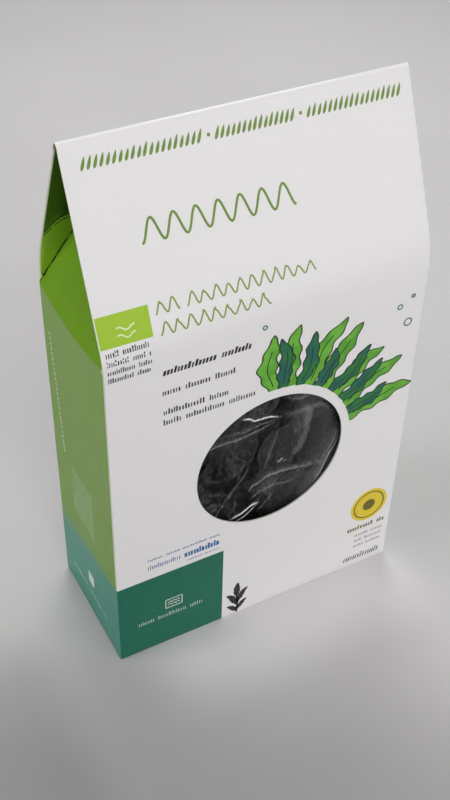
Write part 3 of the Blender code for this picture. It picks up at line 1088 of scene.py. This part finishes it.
def make_lime_patch():
    """The light green rectangle at the left edge, with a plain wavy mark."""
    patch = Print("lime_patch", LIME)
    patch.block((-54.6, 135.9), (-38.8, 144.5))
    patch.make()
    mark = Print("lime_mark", LIME_MARK, lift=INK_LIFT + INK_LEVEL)
    for base in (138.2, 140.2):
        line = [(x / 2, base + 0.55 * math.sin(x / 2 * 1.4)) for x in range(-98, -86)]
        mark.stroke(line, 0.42)
    mark.make()


def make_small_print(draw):
    """The dark lines beside the window and under the light green rectangle, and those under the disc."""
    small = Print("small", INK)
    for base, end in ((133.4, -39.9), (130.6, -39.7), (127.7, -39.7), (124.9, -40.4)):
        small.words(draw, -53.5, end, base, 1.75, 0.34, 0.32)
    small.words(draw, -36.9, -12.9, 114.2, 2.1, 0.42, 0.42)
    small.words(draw, -36.7, -14.0, 106.6, 2.1, 0.42, 0.42)
    small.words(draw, -36.8, -4.2, 102.6, 2.1, 0.42, 0.42)
    small.words(draw, 36.1, 52.2, 3.3, 2.9, 0.42, 0.55, 0.2)
    small.make()
    bold = Print("bold", BLACK_INK)
    bold.words(draw, -36.8, -8.1, 121.6, 2.4, 0.68, 0.38, 0.22)
    bold.make()
    grey = Print("grey", GREY_INK)
    for base in (15.9, 13.0, 10.1):
        grey.words(draw, 40.0, 52.2, base, 1.3, 0.22, 0.34)
    grey.make()


def make_disc():
    """The yellow disc with a plain ring, and the short bold line under it."""
    disc = Print("disc", DISC_YELLOW)
    disc.patch(circle(44.5, 31.0, 7.7, 64))
    disc.make()
    marks = Print("disc_marks", DISC_OLIVE, lift=INK_LIFT + INK_LEVEL)
    ring_band(marks, 44.5, 31.0, 6.5, 0.55, 64)
    marks.patch(circle(44.5, 31.0, 2.6, 32))
    marks.words(draw_for("disc"), 36.4, 52.6, 19.6, 2.1, 0.6, 0.42)
    marks.make()


def make_teal_marks(draw):
    """Plain pale marks on the teal block, and the blue line of print above it."""
    pale = Print("pale_marks", PALE_PRINT)
    pale.words(draw, -47.5, -22.8, 13.9, 1.9, 0.2, 0.5)
    corners = [(-37.2, 18.2), (-31.0, 18.2), (-31.0, 22.4), (-37.2, 22.4), (-37.2, 18.2)]
    for first, second in zip(corners, corners[1:]):
        pale.stroke([first, second], 0.35)
    for base in (19.4, 20.7):
        pale.wave(draw, -36.4, -31.8, base, 0.6, 1.53, 0.3)
    pale.make()
    blue = Print("blue", BLUE)
    blue.words(draw, -43.4, -30.6, 41.0, 2.2, 0.3, 0.45)
    blue.words(draw, -30.0, -15.9, 40.8, 2.7, 0.78, 0.32)
    blue.words(draw, -43.4, -17.0, 45.2, 0.9, 0.3, 0.26)
    blue.words(draw, -29.0, -16.5, 38.6, 0.7, 0.2, 0.28)
    blue.make()


def make_sprig_mark():
    """A plain dark sprig, low beside the teal block."""
    sprig = Print("dark_sprig", INK)
    sprig.stroke([(-9.2, 0.8), (-9.0, 6.0), (-9.4, 11.0)], 0.8)
    shoots = (
        ((-9.3, 10.0), (-9.0, 16.6), 2.6, 0.2), ((-9.2, 5.2), (-13.4, 11.6), 2.4, -0.5),
        ((-9.1, 6.4), (-5.0, 12.6), 2.4, 0.5), ((-9.1, 1.6), (-13.2, 5.4), 2.0, -0.3),
        ((-9.1, 2.4), (-5.2, 6.6), 2.0, 0.3),
    )
    for base, tip, width, bend in shoots:
        sprig.ribbon(*blade_outline(base, tip, width, bend, 0.1, 1.0, steps=14))
    sprig.make()


def arc_angles(low, high, steps):
    return [math.radians(between(low, high, i / steps)) for i in range(steps + 1)]


def blade_outline(base, tip, width, bend, ripple, phase, grow=0.0, steps=30):
    """Left and right edge of a long wavy leaf that bends sideways between its base and its tip."""
    run, rise = tip[0] - base[0], tip[1] - base[1]
    length = math.hypot(run, rise)
    along, across = (run / length, rise / length), (-rise / length, run / length)
    left, right = [], []
    for i in range(steps + 1):
        u = i / steps
        sway = bend * math.sin(math.pi * u) + 0.25 * bend * math.sin(3 * math.pi * u + phase)
        half = width / 2 * max(0.0, math.sin(math.pi * between(0.14, 1.0, u))) ** 0.65
        half = max(0.04, half * (1 + ripple * math.sin(2 * math.pi * 3.6 * u + phase)) + grow)
        reach = length * u + (grow if i == steps else 0)
        x = base[0] + along[0] * reach + across[0] * sway
        z = base[1] + along[1] * reach + across[1] * sway
        left.append((x + across[0] * half, z + across[1] * half))
        right.append((x - across[0] * half, z - across[1] * half))
    return left, right


def around_window(angle, radius):
    """A place in millimetres at an angle and a distance from the window's middle."""
    middle_x, middle_z = (value / MM for value in WINDOW_CENTRE)
    return middle_x + radius * math.cos(angle), middle_z + radius * math.sin(angle)


def make_artwork(draw):
    """A plain fringe of wavy leaves that stand out round the window's upper right edge, with bubbles."""
    sheets = {
        "outline_low": (LEAF_OUTLINE, None),
        "light_low": (LEAF_GREEN, LEAF_LIGHT),
        "outline_high": (LEAF_OUTLINE, None),
        "deep_high": (LEAF_DEEP, LEAF_BLUE),
        "veins": (LEAF_OUTLINE, None),
    }
    for level, (name, (colour, second)) in enumerate(sheets.items()):
        sheets[name] = Print(f"art_{name}", colour, FRONT.place, INK_LIFT + level * INK_LEVEL, second)
    for number, angle in enumerate(arc_angles(14, 92, 12)):
        low = number % 2 == 0
        base = around_window(angle, 30.0)
        turned = angle + 0.05 * draw.uniform(-1, 1)
        tip = around_window(turned, draw.uniform(51, 56) if low else draw.uniform(44, 50))
        width, bend = (6.4, 1.9) if low else (5.0, -1.5)
        shape = (base, tip, width, bend, 0.17, 1.9 * number)
        sheets["outline_low" if low else "outline_high"].ribbon(*blade_outline(*shape, grow=0.28))
        left, right = blade_outline(*shape, grow=-0.24)
        sheets["light_low" if low else "deep_high"].ribbon(left, right)
        middle = [((a[0] + b[0]) / 2, (a[1] + b[1]) / 2) for a, b in zip(left, right)]
        sheets["veins"].stroke(middle[2:-8], 0.34)
    for x, z, radius in ((49.5, 112.0, 1.6), (45.6, 119.0, 1.1), (50.2, 122.0, 0.8), (-3.4, 127.6, 0.9)):
        ring_band(sheets["deep_high"], x, z, radius, 0.45, 24)
    for sheet in sheets.values():
        sheet.make()


def make_side_print(side, label, draw):
    """Pale lines on a side panel: a thin upright line, a block of small print and a mark on the teal."""
    upright = Print(f"{label}_pale", PALE_PRINT, lambda *place: side_place(side, *place))
    for z in heights(66.5, 113.0, 1.9):
        y = between(15.1, 19.0, (z - 66.5) / 47.2)
        upright.block((y, z), (y + 0.55, z + 1.25))
    for row in range(12):
        upright.words(draw, -6.5, 10.5, 44.0 + 1.75 * row, 0.95, 0.16, 0.4)
    upright.words(draw, -13.0, 16.0, 10.0, 1.6, 0.22, 0.75)
    upright.block((-2.4, 15.0), (2.4, 20.0))
    upright.make()


def draw_for(name):
    """A seeded source of random numbers for one sheet of print."""
    return random.Random(f"{PRINT_SEED} {name}")


def on_back(u, z, lift):
    """A place on the back panel, with u to the right as seen from behind."""
    return BACK.place(-u, z, lift)


def make_back_print(draw):
    """The back: the same leaf border, a paragraph, a ruled table and a block of bars, without lettering."""
    green = Print("back_green", OLIVE, on_back)
    for start, end in HEADER_RUNS:
        green.leaves(draw, start, end, 179.8, 4.6, 1.9, 3.0, 0.42)
    green.wave(draw, -25.0, 25.0, 160.0, 5.0, 6.25, 0.65)
    green.make()
    dark = Print("back_text", INK, on_back)
    for row in range(7):
        dark.words(draw, -44.0, 44.0 if row < 6 else 8.0, 124.0 - 4.2 * row, 1.7, 0.26, 0.4)
    for row in range(9):
        base = 83.2 - 4.6 * row
        dark.words(draw, -42.5, -42.5 + draw.uniform(14, 26), base, 1.5, 0.24, 0.36)
        dark.words(draw, -3.5, 3.0, base, 1.5, 0.24, 0.36)
        dark.stroke([(-44.0, base - 1.5), (5.0, base - 1.5)], 0.22)
    for x in (-44.0, -5.5, 5.0):
        dark.stroke([(x, 87.0), (x, 44.9)], 0.22)
    dark.stroke([(-44.0, 87.0), (5.0, 87.0)], 0.4)
    for row in range(6):
        dark.words(draw, 14.0, 44.0, 83.2 - 3.6 * row, 1.4, 0.22, 0.34)
    x = 18.0
    while x < 42.0:
        wide = draw.choice((0.3, 0.3, 0.6, 0.9))
        dark.block((x, 42.0), (x + wide, 57.0), 4.0)
        x += wide + draw.choice((0.35, 0.6, 0.9))
    dark.make()
    pale = Print("back_pale", PALE_PRINT, on_back)
    for base, half in ((17.0, 20.0), (12.5, 28.0), (8.0, 24.0)):
        pale.words(draw, -half, half, base, 1.6, 0.24, 0.45)
    pale.make()


def make_print():
    make_header_print(draw_for("header"))
    make_lime_patch()
    make_small_print(draw_for("small"))
    make_disc()
    make_teal_marks(draw_for("teal"))
    make_sprig_mark()
    make_artwork(draw_for("artwork"))
    make_side_print(-1, "left", draw_for("left"))
    make_side_print(1, "right", draw_for("right"))
    make_back_print(draw_for("back"))


# Film pouch


def pouch_section(z):
    """Outer half width and half depth of the pouch at a height."""
    for (z0, a0, b0), (z1, a1, b1) in zip(POUCH_SECTIONS, POUCH_SECTIONS[1:]):
        if z <= z1:
            share = max(0.0, (z - z0) / (z1 - z0))
            return between(a0, a1, share), between(b0, b1, share)
    return POUCH_SECTIONS[-1][1:]


class Crease:
    """A sharp fold in the film along a line in millimetres.

    bright is how white its crest is painted, as a painted highlight, width how wide the crest is, and glow
    how strong the painted hazy white beside it is.
    """

    def __init__(self, line, height, bright, width, glow=0.0, reach=1.5, lean=0.3):
        self.line = line
        self.height = height
        self.bright = bright
        self.width = width
        self.glow = glow
        self.reach = reach
        self.lean = lean

    def near(self, x, z):
        """Distance to the line, the side of it and the share of its length, at a place."""
        best = None
        total = len(self.line) - 1
        for k, ((x0, z0), (x1, z1)) in enumerate(zip(self.line, self.line[1:])):
            run, up = x1 - x0, z1 - z0
            share = clamp(((x - x0) * run + (z - z0) * up) / (run * run + up * up))
            away_x, away_z = x - (x0 + run * share), z - (z0 + up * share)
            distance = math.hypot(away_x, away_z)
            if best is None or distance < best[0]:
                side = 1 if away_x * up - away_z * run > 0 else -1
                best = (distance, side, (k + share) / total)
        return best

    def rise(self, distance, side):
        """Height of the fold in millimetres, with a steeper flank on the side away from its lean."""
        reach = self.reach * (1 + self.lean * side)
        return self.height * max(0.0, 1 - distance / reach) ** 1.3

    def highlight_and_haze(self, distance, side, along):
        """How white the fold is painted, from 0 to 1: a painted highlight on its crest and painted hazy
        white beside it.
        """
        ends = smooth(along / 0.2) * smooth((1 - along) / 0.2)
        width = self.width * (0.35 + 0.65 * ends)
        # Painted highlight: the crest painted white where light glances off it
        painted_highlight = self.bright * math.exp(-((distance / width) ** 4)) * (0.25 + 0.75 * ends)
        glow = 0.6 * self.glow * math.exp(-distance / (self.reach * 1.6)) * (1.0 if side > 0 else 0.3)
        return painted_highlight + glow * ends


# Creases of the film: the line in millimetres, then height, bright, width and, where they differ from the
# usual, glow, reach and lean
# The first three creases are painted highlights
CREASES = [
    Crease([(-9, 92.4), (-7, 91.7), (-4.7, 90.3), (-0.1, 89.8), (5.2, 88.8)], 0.9, 1.0, 0.24),
    Crease([(-12.4, 48.4), (-8.2, 49.8), (-4.7, 51.9), (-1.5, 53)], 0.7, 1.0, 0.24, 0.0, 1.1),
    Crease([(-10.6, 46.7), (-7.7, 47.5), (-4.2, 49.9), (-1.5, 53)], 0.7, 0.9, 0.2, 0.0, 1.0, -0.3),
    Crease([(-25, 81.5), (-18.8, 84), (-10.5, 84.4), (-2.9, 85.4), (4.8, 88)], 0.7, 0.17, 0.27, 0.03, 2.0),
    Crease([(-17, 87.2), (-9, 86.6), (0, 87.6), (5, 88.6)], 0.5, 0.10, 0.2, 0.02, 1.4),
    Crease([(4.4, 83.6), (3.6, 79), (2.3, 74.9), (-0.5, 66.1)], 0.5, 0.14, 0.2, 0.02, 1.3, -0.3),
    Crease(
        [(-6.5, 58.6), (-4.2, 61.4), (1.3, 63.6), (8.6, 63.4), (21.1, 60.6)],
        0.9, 0.20, 0.31, 0.06, 2.4,
    ),
    Crease(
        [(-19, 50.6), (-16.7, 54.6), (-11.8, 61.9), (-7.2, 67.7), (-5.4, 73)],
        0.7, 0.14, 0.2, 0.02, 1.6,
    ),
    Crease([(-6, 54.5), (-1.7, 57.3), (3.2, 58.1), (8.5, 56.9), (14, 57.4)], 0.6, 0.11, 0.31, 0.04, 2.2),
    Crease([(-1.6, 47.7), (1.8, 52.2), (4.9, 55.3)], 0.5, 0.13, 0.24, 0.02, 1.3),
    Crease(
        [(12.5, 90.5), (16.1, 86.2), (15.6, 77.7), (13.6, 72), (10, 68.3)],
        0.8, 0.08, 1.3, 0.04, 3.2, -0.3,
    ),
    Crease([(30.5, 71), (29.2, 68.3), (25.5, 63), (22.7, 56.8), (18.4, 49.7)], 0.9, 0.22, 0.41, 0.05, 1.8),
    Crease([(28.9, 75), (27, 68), (23.6, 63.5), (20.5, 57)], 0.5, 0.08, 0.27, 0.02, 1.4),
    Crease([(5.4, 88.6), (10.5, 87), (16.5, 87.8), (22.2, 86.4), (26.4, 81)], 0.5, 0.07, 1.0, 0.03, 2.6),
    Crease([(-9.7, 57.5), (-11.1, 52.7), (-13, 49.5)], 0.5, 0.08, 0.24, 0.02, 1.2),
    Crease([(-24, 71), (-16, 68), (-10, 69.5)], 0.4, 0.04, 0.34, 0.01, 1.8),
    Crease([(-9.6, 66), (-8.9, 69.3), (-7.1, 73.3)], 0.4, 0.10, 0.2, 0.0, 1.0),
    Crease([(-20, 63), (-15, 62), (-11.5, 58.5)], 0.4, 0.06, 0.27, 0.01, 1.4),
    Crease([(-22.5, 57.5), (-17.5, 58), (-14, 55)], 0.4, 0.05, 0.24, 0.01, 1.2),
    Crease([(-3.2, 61), (-0.4, 64.6), (1, 70), (1.8, 76), (3.6, 84)], 0.3, 0.05, 0.24, 0.01, 1.2),
    Crease([(6, 94.6), (12, 92.6), (18, 92.8), (22, 90)], 0.5, 0.07, 0.34, 0.02, 1.8),
    Crease([(-12, 94), (-6, 94.6), (0, 93.2)], 0.4, 0.06, 0.24, 0.01, 1.4),
    Crease([(5.9, 67.6), (6.4, 68.6), (7.4, 68.9)], 0.4, 0.5, 0.24, 0.03, 1.2),
    Crease([(5, 68.9), (5.6, 67.4)], 0.3, 0.35, 0.2, 0.02, 0.9),
    Crease([(7.4, 67.2), (8.4, 67.9)], 0.3, 0.3, 0.2, 0.02, 0.9),
]


def ridged(x, z, size, seed):
    """Sharp-crested noise from 0 to 1, like crinkled film."""
    value = noise.noise(Vector((x / size, z / size, seed)))
    return 1 - min(1.0, abs(value) * 2.2)


def film_relief(x, z):
    """How far the film's front stands out at a place, in metres, and how much painted white, for highlights
    and reflections, it has there.

    The painted white is strongest on the right, and the film lies close to the board along the window's
    lower right rim.
    """
    a, b = x / MM, z / MM
    warp = 2.5 * noise.noise(Vector((a / 14, b / 14, 7.7)))
    crinkle = ridged(a + warp, 0.55 * b, 9.0, 2.3)
    rise = 0.30 * crinkle + 0.16 * ridged(a, b + warp, 4.2, 8.1) - 0.45
    rise += 0.5 * noise.noise(Vector((a / 17, b / 21, 1.4)))
    cloud = 0.5 + 0.5 * noise.noise(Vector((a / 11, b / 15, 5.2)))
    # Painted hazy white, mostly standing in for reflections: more on the right, in patches and on the
    # crinkles
    highlight_and_haze = 0.001 + 0.042 * smooth((a - 4) / 16) + 0.03 * smooth((a - 19) / 9)
    highlight_and_haze += 0.024 * smooth((a + 4) / 10) * smooth((66 - b) / 8)
    highlight_and_haze += 0.014 * smooth((-9 - a) / 6) * smooth((61 - b) / 8)
    highlight_and_haze += 0.008 * cloud * cloud + 0.016 * crinkle**12
    across = (x - WINDOW_CENTRE[0]) / MM * RIM_ACROSS[0] + (z - WINDOW_CENTRE[1]) / MM * RIM_ACROSS[1]
    rim = smooth((across - RIM_START) / 3.0)
    rise += 1.3 * rim
    hatch = ridged(across, 0.25 * (a * -RIM_ACROSS[1] + b * RIM_ACROSS[0]), 1.3, 6.6)
    highlight_and_haze += rim * (0.035 + 0.07 * hatch**3)
    waver = 0.35 * noise.noise(Vector((a / 3, b / 3, 9.9)))
    for crease in CREASES:
        distance, side, along = crease.near(a + waver, b + waver)
        if distance < 5 * crease.reach:
            rise += crease.rise(distance, side)
            highlight_and_haze += crease.highlight_and_haze(distance, side, along)
    return clamp(rise, -1.3, 1.05) * MM, clamp(highlight_and_haze)


def pouch_roundness(share):
    """Depth of the pouch, as a share of its middle's, at a share of its half width."""
    return (1 - abs(share) ** POUCH_EXPONENT) ** (1 / POUCH_EXPONENT)


def make_film():
    """The pouch: a closed bag of film, crinkled most finely behind the window."""
    window_low = (WINDOW_CENTRE[0] - FINE_HALF_WIDTH, WINDOW_CENTRE[1] - FINE_HALF_HEIGHT)
    window_high = (WINDOW_CENTRE[0] + FINE_HALF_WIDTH, WINDOW_CENTRE[1] + FINE_HALF_HEIGHT)
    beside = [(i / FILM_BESIDE_STEPS) ** 0.5 for i in range(FILM_BESIDE_STEPS)]
    rows = [z0 for z0, _, _ in POUCH_SECTIONS if not window_low[1] <= z0 <= window_high[1]]
    rows += [row * MM for row in (3, 9, 20, 27, 38, 110, 117, 130, 134, 145, 153, 164)]
    fine_rows = round((window_high[1] - window_low[1]) / FINE_FILM)
    rows += [between(window_low[1], window_high[1], i / fine_rows) for i in range(fine_rows + 1)]
    rows.sort()
    fine_columns = round((window_high[0] - window_low[0]) / FINE_FILM)
    front_xs = [between(window_low[0], window_high[0], i / fine_columns) for i in range(fine_columns + 1)]
    rings = []
    highlights_and_hazes = []
    for z in rows:
        half_width, half_depth = pouch_section(z)
        left = [between(-1.0, window_low[0] / half_width, share) for share in beside]
        right = [between(window_high[0] / half_width, 1.0, 1 - share) for share in reversed(beside)]
        ring = []
        for share in left + [x / half_width for x in front_xs] + right:
            share = clamp(share, -1, 1)
            x = share * half_width
            y = -half_depth * pouch_roundness(share)
            highlight_and_haze = FILM_HAZE
            beyond_x = abs(x - WINDOW_CENTRE[0]) - FINE_HALF_WIDTH
            beyond_z = abs(z - WINDOW_CENTRE[1]) - FINE_HALF_HEIGHT
            if max(beyond_x, beyond_z) < CREASED_MARGIN:
                rise, highlight_and_haze = film_relief(x, z)
                y -= rise
            ring.append((x, y, z))
            highlights_and_hazes.append(highlight_and_haze)
        for i in range(1, FILM_BEHIND_STEPS):
            share = math.cos(math.pi * i / FILM_BEHIND_STEPS)
            y = half_depth * pouch_roundness(share)
            x = share * half_width
            y -= 0.5 * MM * ridged(x / MM, 0.6 * z / MM, 11.0, 4.4) * clamp(y / (4 * MM))
            ring.append((x, y, z))
            highlights_and_hazes.append(FILM_HAZE)
        rings.append(ring)
    film = lofted("film_pouch", rings)
    film.data.attributes.new("highlight_and_haze", "FLOAT", "POINT").data.foreach_set("value", highlights_and_hazes)
    film.data.materials.append(film_material())
    tidy_mesh(film)
    film.data.shade_smooth()
    film.data.set_sharp_from_angle(angle=math.radians(50))
    finish_piece(film, "pouch", "pouch")


# Dried fronds


def room_half_depth(x, z):
    """Half depth of the pouch's room for the fronds at a place in the XZ plane."""
    half_width, half_depth = pouch_section(z)
    across = min(abs(x) / (half_width - FILM), 1.0)
    return (half_depth - FILM) * pouch_roundness(across) - HEAP_CLEARANCE


def height_limits(middle_x, lean):
    """Lowest and highest height that a leaning frond's middle line reaches inside the heap."""
    low, high = HEAP_LOW, HEAP_HIGH
    middle_z = between(HEAP_LOW, HEAP_HIGH, 0.5)
    for edge in (-HEAP_HALF_WIDTH, HEAP_HALF_WIDTH):
        z = middle_z + (edge - middle_x) / math.tan(lean)
        if z > middle_z:
            high = min(high, z)
        else:
            low = max(low, z)
    return low, high


class Frond:
    """One dried frond in the heap, drawn by the same rule as its solid, with fine wrinkles."""

    def __init__(self, layer, place, sway_phase, draw):
        self.share = LAYER_SHARES[layer]
        self.fine = 2.0 if layer < 2 else 1.0
        self.lean = LAYER_LEANS[layer]
        self.sway_phase = sway_phase
        offset = (place - (FRONDS_PER_LAYER - 1) / 2) * FROND_SPACING
        self.middle_x = offset / math.cos(self.lean)
        self.low, self.high = height_limits(self.middle_x, self.lean)
        self.high -= draw.uniform(0, FROND_LOSS_AT_TOP) * (self.high - self.low)
        self.left_phase, self.right_phase, self.fold_phase, self.ripple_phase = (
            draw.uniform(0, 2 * math.pi) for _ in range(4)
        )
        self.half_width = FROND_HALF_WIDTH * draw.uniform(0.9, 1.0)
        self.curl = draw.choice((-1, 1)) * draw.uniform(CURL_LEAST, CURL_MOST)
        self.lobes = LOBES_IN_FULL_LENGTH * (self.high - self.low) / (HEAP_HIGH - HEAP_LOW)

    def width_at(self, u, side):
        """Half width on one side: full in the middle, narrow at the ends, notched and ragged."""
        taper = math.sqrt(math.sin(math.pi * between(FROND_TIP_SHARE, 1 - FROND_TIP_SHARE, u)))
        phase = self.right_phase if side > 0 else self.left_phase
        notch = (0.5 + 0.5 * math.cos(2 * math.pi * self.lobes * u + phase)) ** 2
        ragged = 1 - 0.06 * abs(noise.noise(Vector((u * 60, phase, side))))
        return self.half_width * taper * (1 - LOBE_NOTCH * notch) * ragged

    def crumple(self, u, v):
        """Offset across the layer from -1 to 1: a curl, slanting folds and ripples at the edges."""
        curl = self.curl * (2 * v * v - CURL_BALANCE)
        fold = FOLD_DEPTH * math.sin(2 * math.pi * FOLD_TURNS * u + self.fold_phase + FOLD_SLANT * v)
        ripple = RIPPLE_DEPTH * v * math.sin(2 * math.pi * self.lobes * u + self.ripple_phase)
        return max(-1.0, min(1.0, curl + fold + ripple))

    def point(self, u, v):
        """Middle of the blade at a share u of its length and at v, from -1 to 1, across it."""
        line_z = between(self.low, self.high, u)
        line_x = self.middle_x + (line_z - between(HEAP_LOW, HEAP_HIGH, 0.5)) * math.tan(self.lean)
        reach = v * self.width_at(u, v)
        z = line_z - reach * math.sin(self.lean)
        sway = LAYER_SWAY * math.sin(2 * math.pi * z / LAYER_SWAY_LENGTH + self.sway_phase)
        x = line_x + reach * math.cos(self.lean) + sway
        depth = room_half_depth(x, z)
        flattening = depth / room_half_depth(0.0, WINDOW_CENTRE[1])
        y = self.share * depth + CRUMPLE_DEPTH * flattening * self.crumple(u, v)
        return x, y, z

    def wrinkle(self, x, z):
        """Sharp wrinkles of dried leaf that run with its length."""
        across = x * math.cos(self.lean) - z * math.sin(self.lean)
        along = x * math.sin(self.lean) + z * math.cos(self.lean)
        bend = noise.noise(Vector((along / (9 * MM), across / (9 * MM), self.fold_phase)))
        bent = across + 2.2 * MM * bend
        first = ridged(bent, 0.34 * along, WRINKLE_SIZE, self.fold_phase)
        second = ridged(bent, 0.6 * along, WRINKLE_SIZE / 2.3, self.left_phase)
        third = 0.5
        if self.fine > 1:
            third = ridged(across, 0.8 * along, WRINKLE_SIZE / 4.5, self.right_phase)
        return WRINKLE_DEPTH * (first + 0.45 * second + 0.2 * third - 0.85)

    def mesh(self, name):
        steps_long = round(self.fine * FROND_STEPS_LONG)
        steps_across = round(self.fine * FROND_STEPS_ACROSS)
        points = []
        for face in (-1, 1):
            for i in range(steps_long + 1):
                for j in range(steps_across + 1):
                    v = 2 * j / steps_across - 1
                    x, y, z = self.point(i / steps_long, v)
                    rib = MIDRIB_HEIGHT * max(0.0, 1 - abs(v) / 0.16)
                    thick = FROND_THICKNESS / 2 * (1 - 0.5 * v**4) + rib
                    points.append((x, y + face * thick + self.wrinkle(x, z), z))
        faces = closed_grid(0, steps_long + 1, steps_across + 1)
        return plain_mesh(name, points, faces, smooth_shaded=True)


def make_fronds():
    """All the fronds, layer by layer from the front."""
    outer = seaweed_material("dried_wakame", (12, 13, 14), (38, 36, 33))
    inner = seaweed_material("dried_wakame_inner", (30, 30, 31), (70, 66, 60))
    draw = random.Random(FROND_SEED)
    number = 0
    for layer in range(len(LAYER_SHARES)):
        sway_phase = draw.uniform(0, 2 * math.pi)
        for place in range(FRONDS_PER_LAYER):
            number += 1
            made = Frond(layer, place, sway_phase, draw).mesh(f"wakame_{number:02d}")
            made.data.materials.append(inner if layer else outer)
            tidy_mesh(made, 1e-8)
            finish_piece(made, "dried_seaweed", f"frond_{number:02d}")


make_camera()
make_lights()
make_floor()
make_carton()
make_print()
make_film()
make_fronds()
bpy.context.scene.view_settings.view_transform = "Standard"
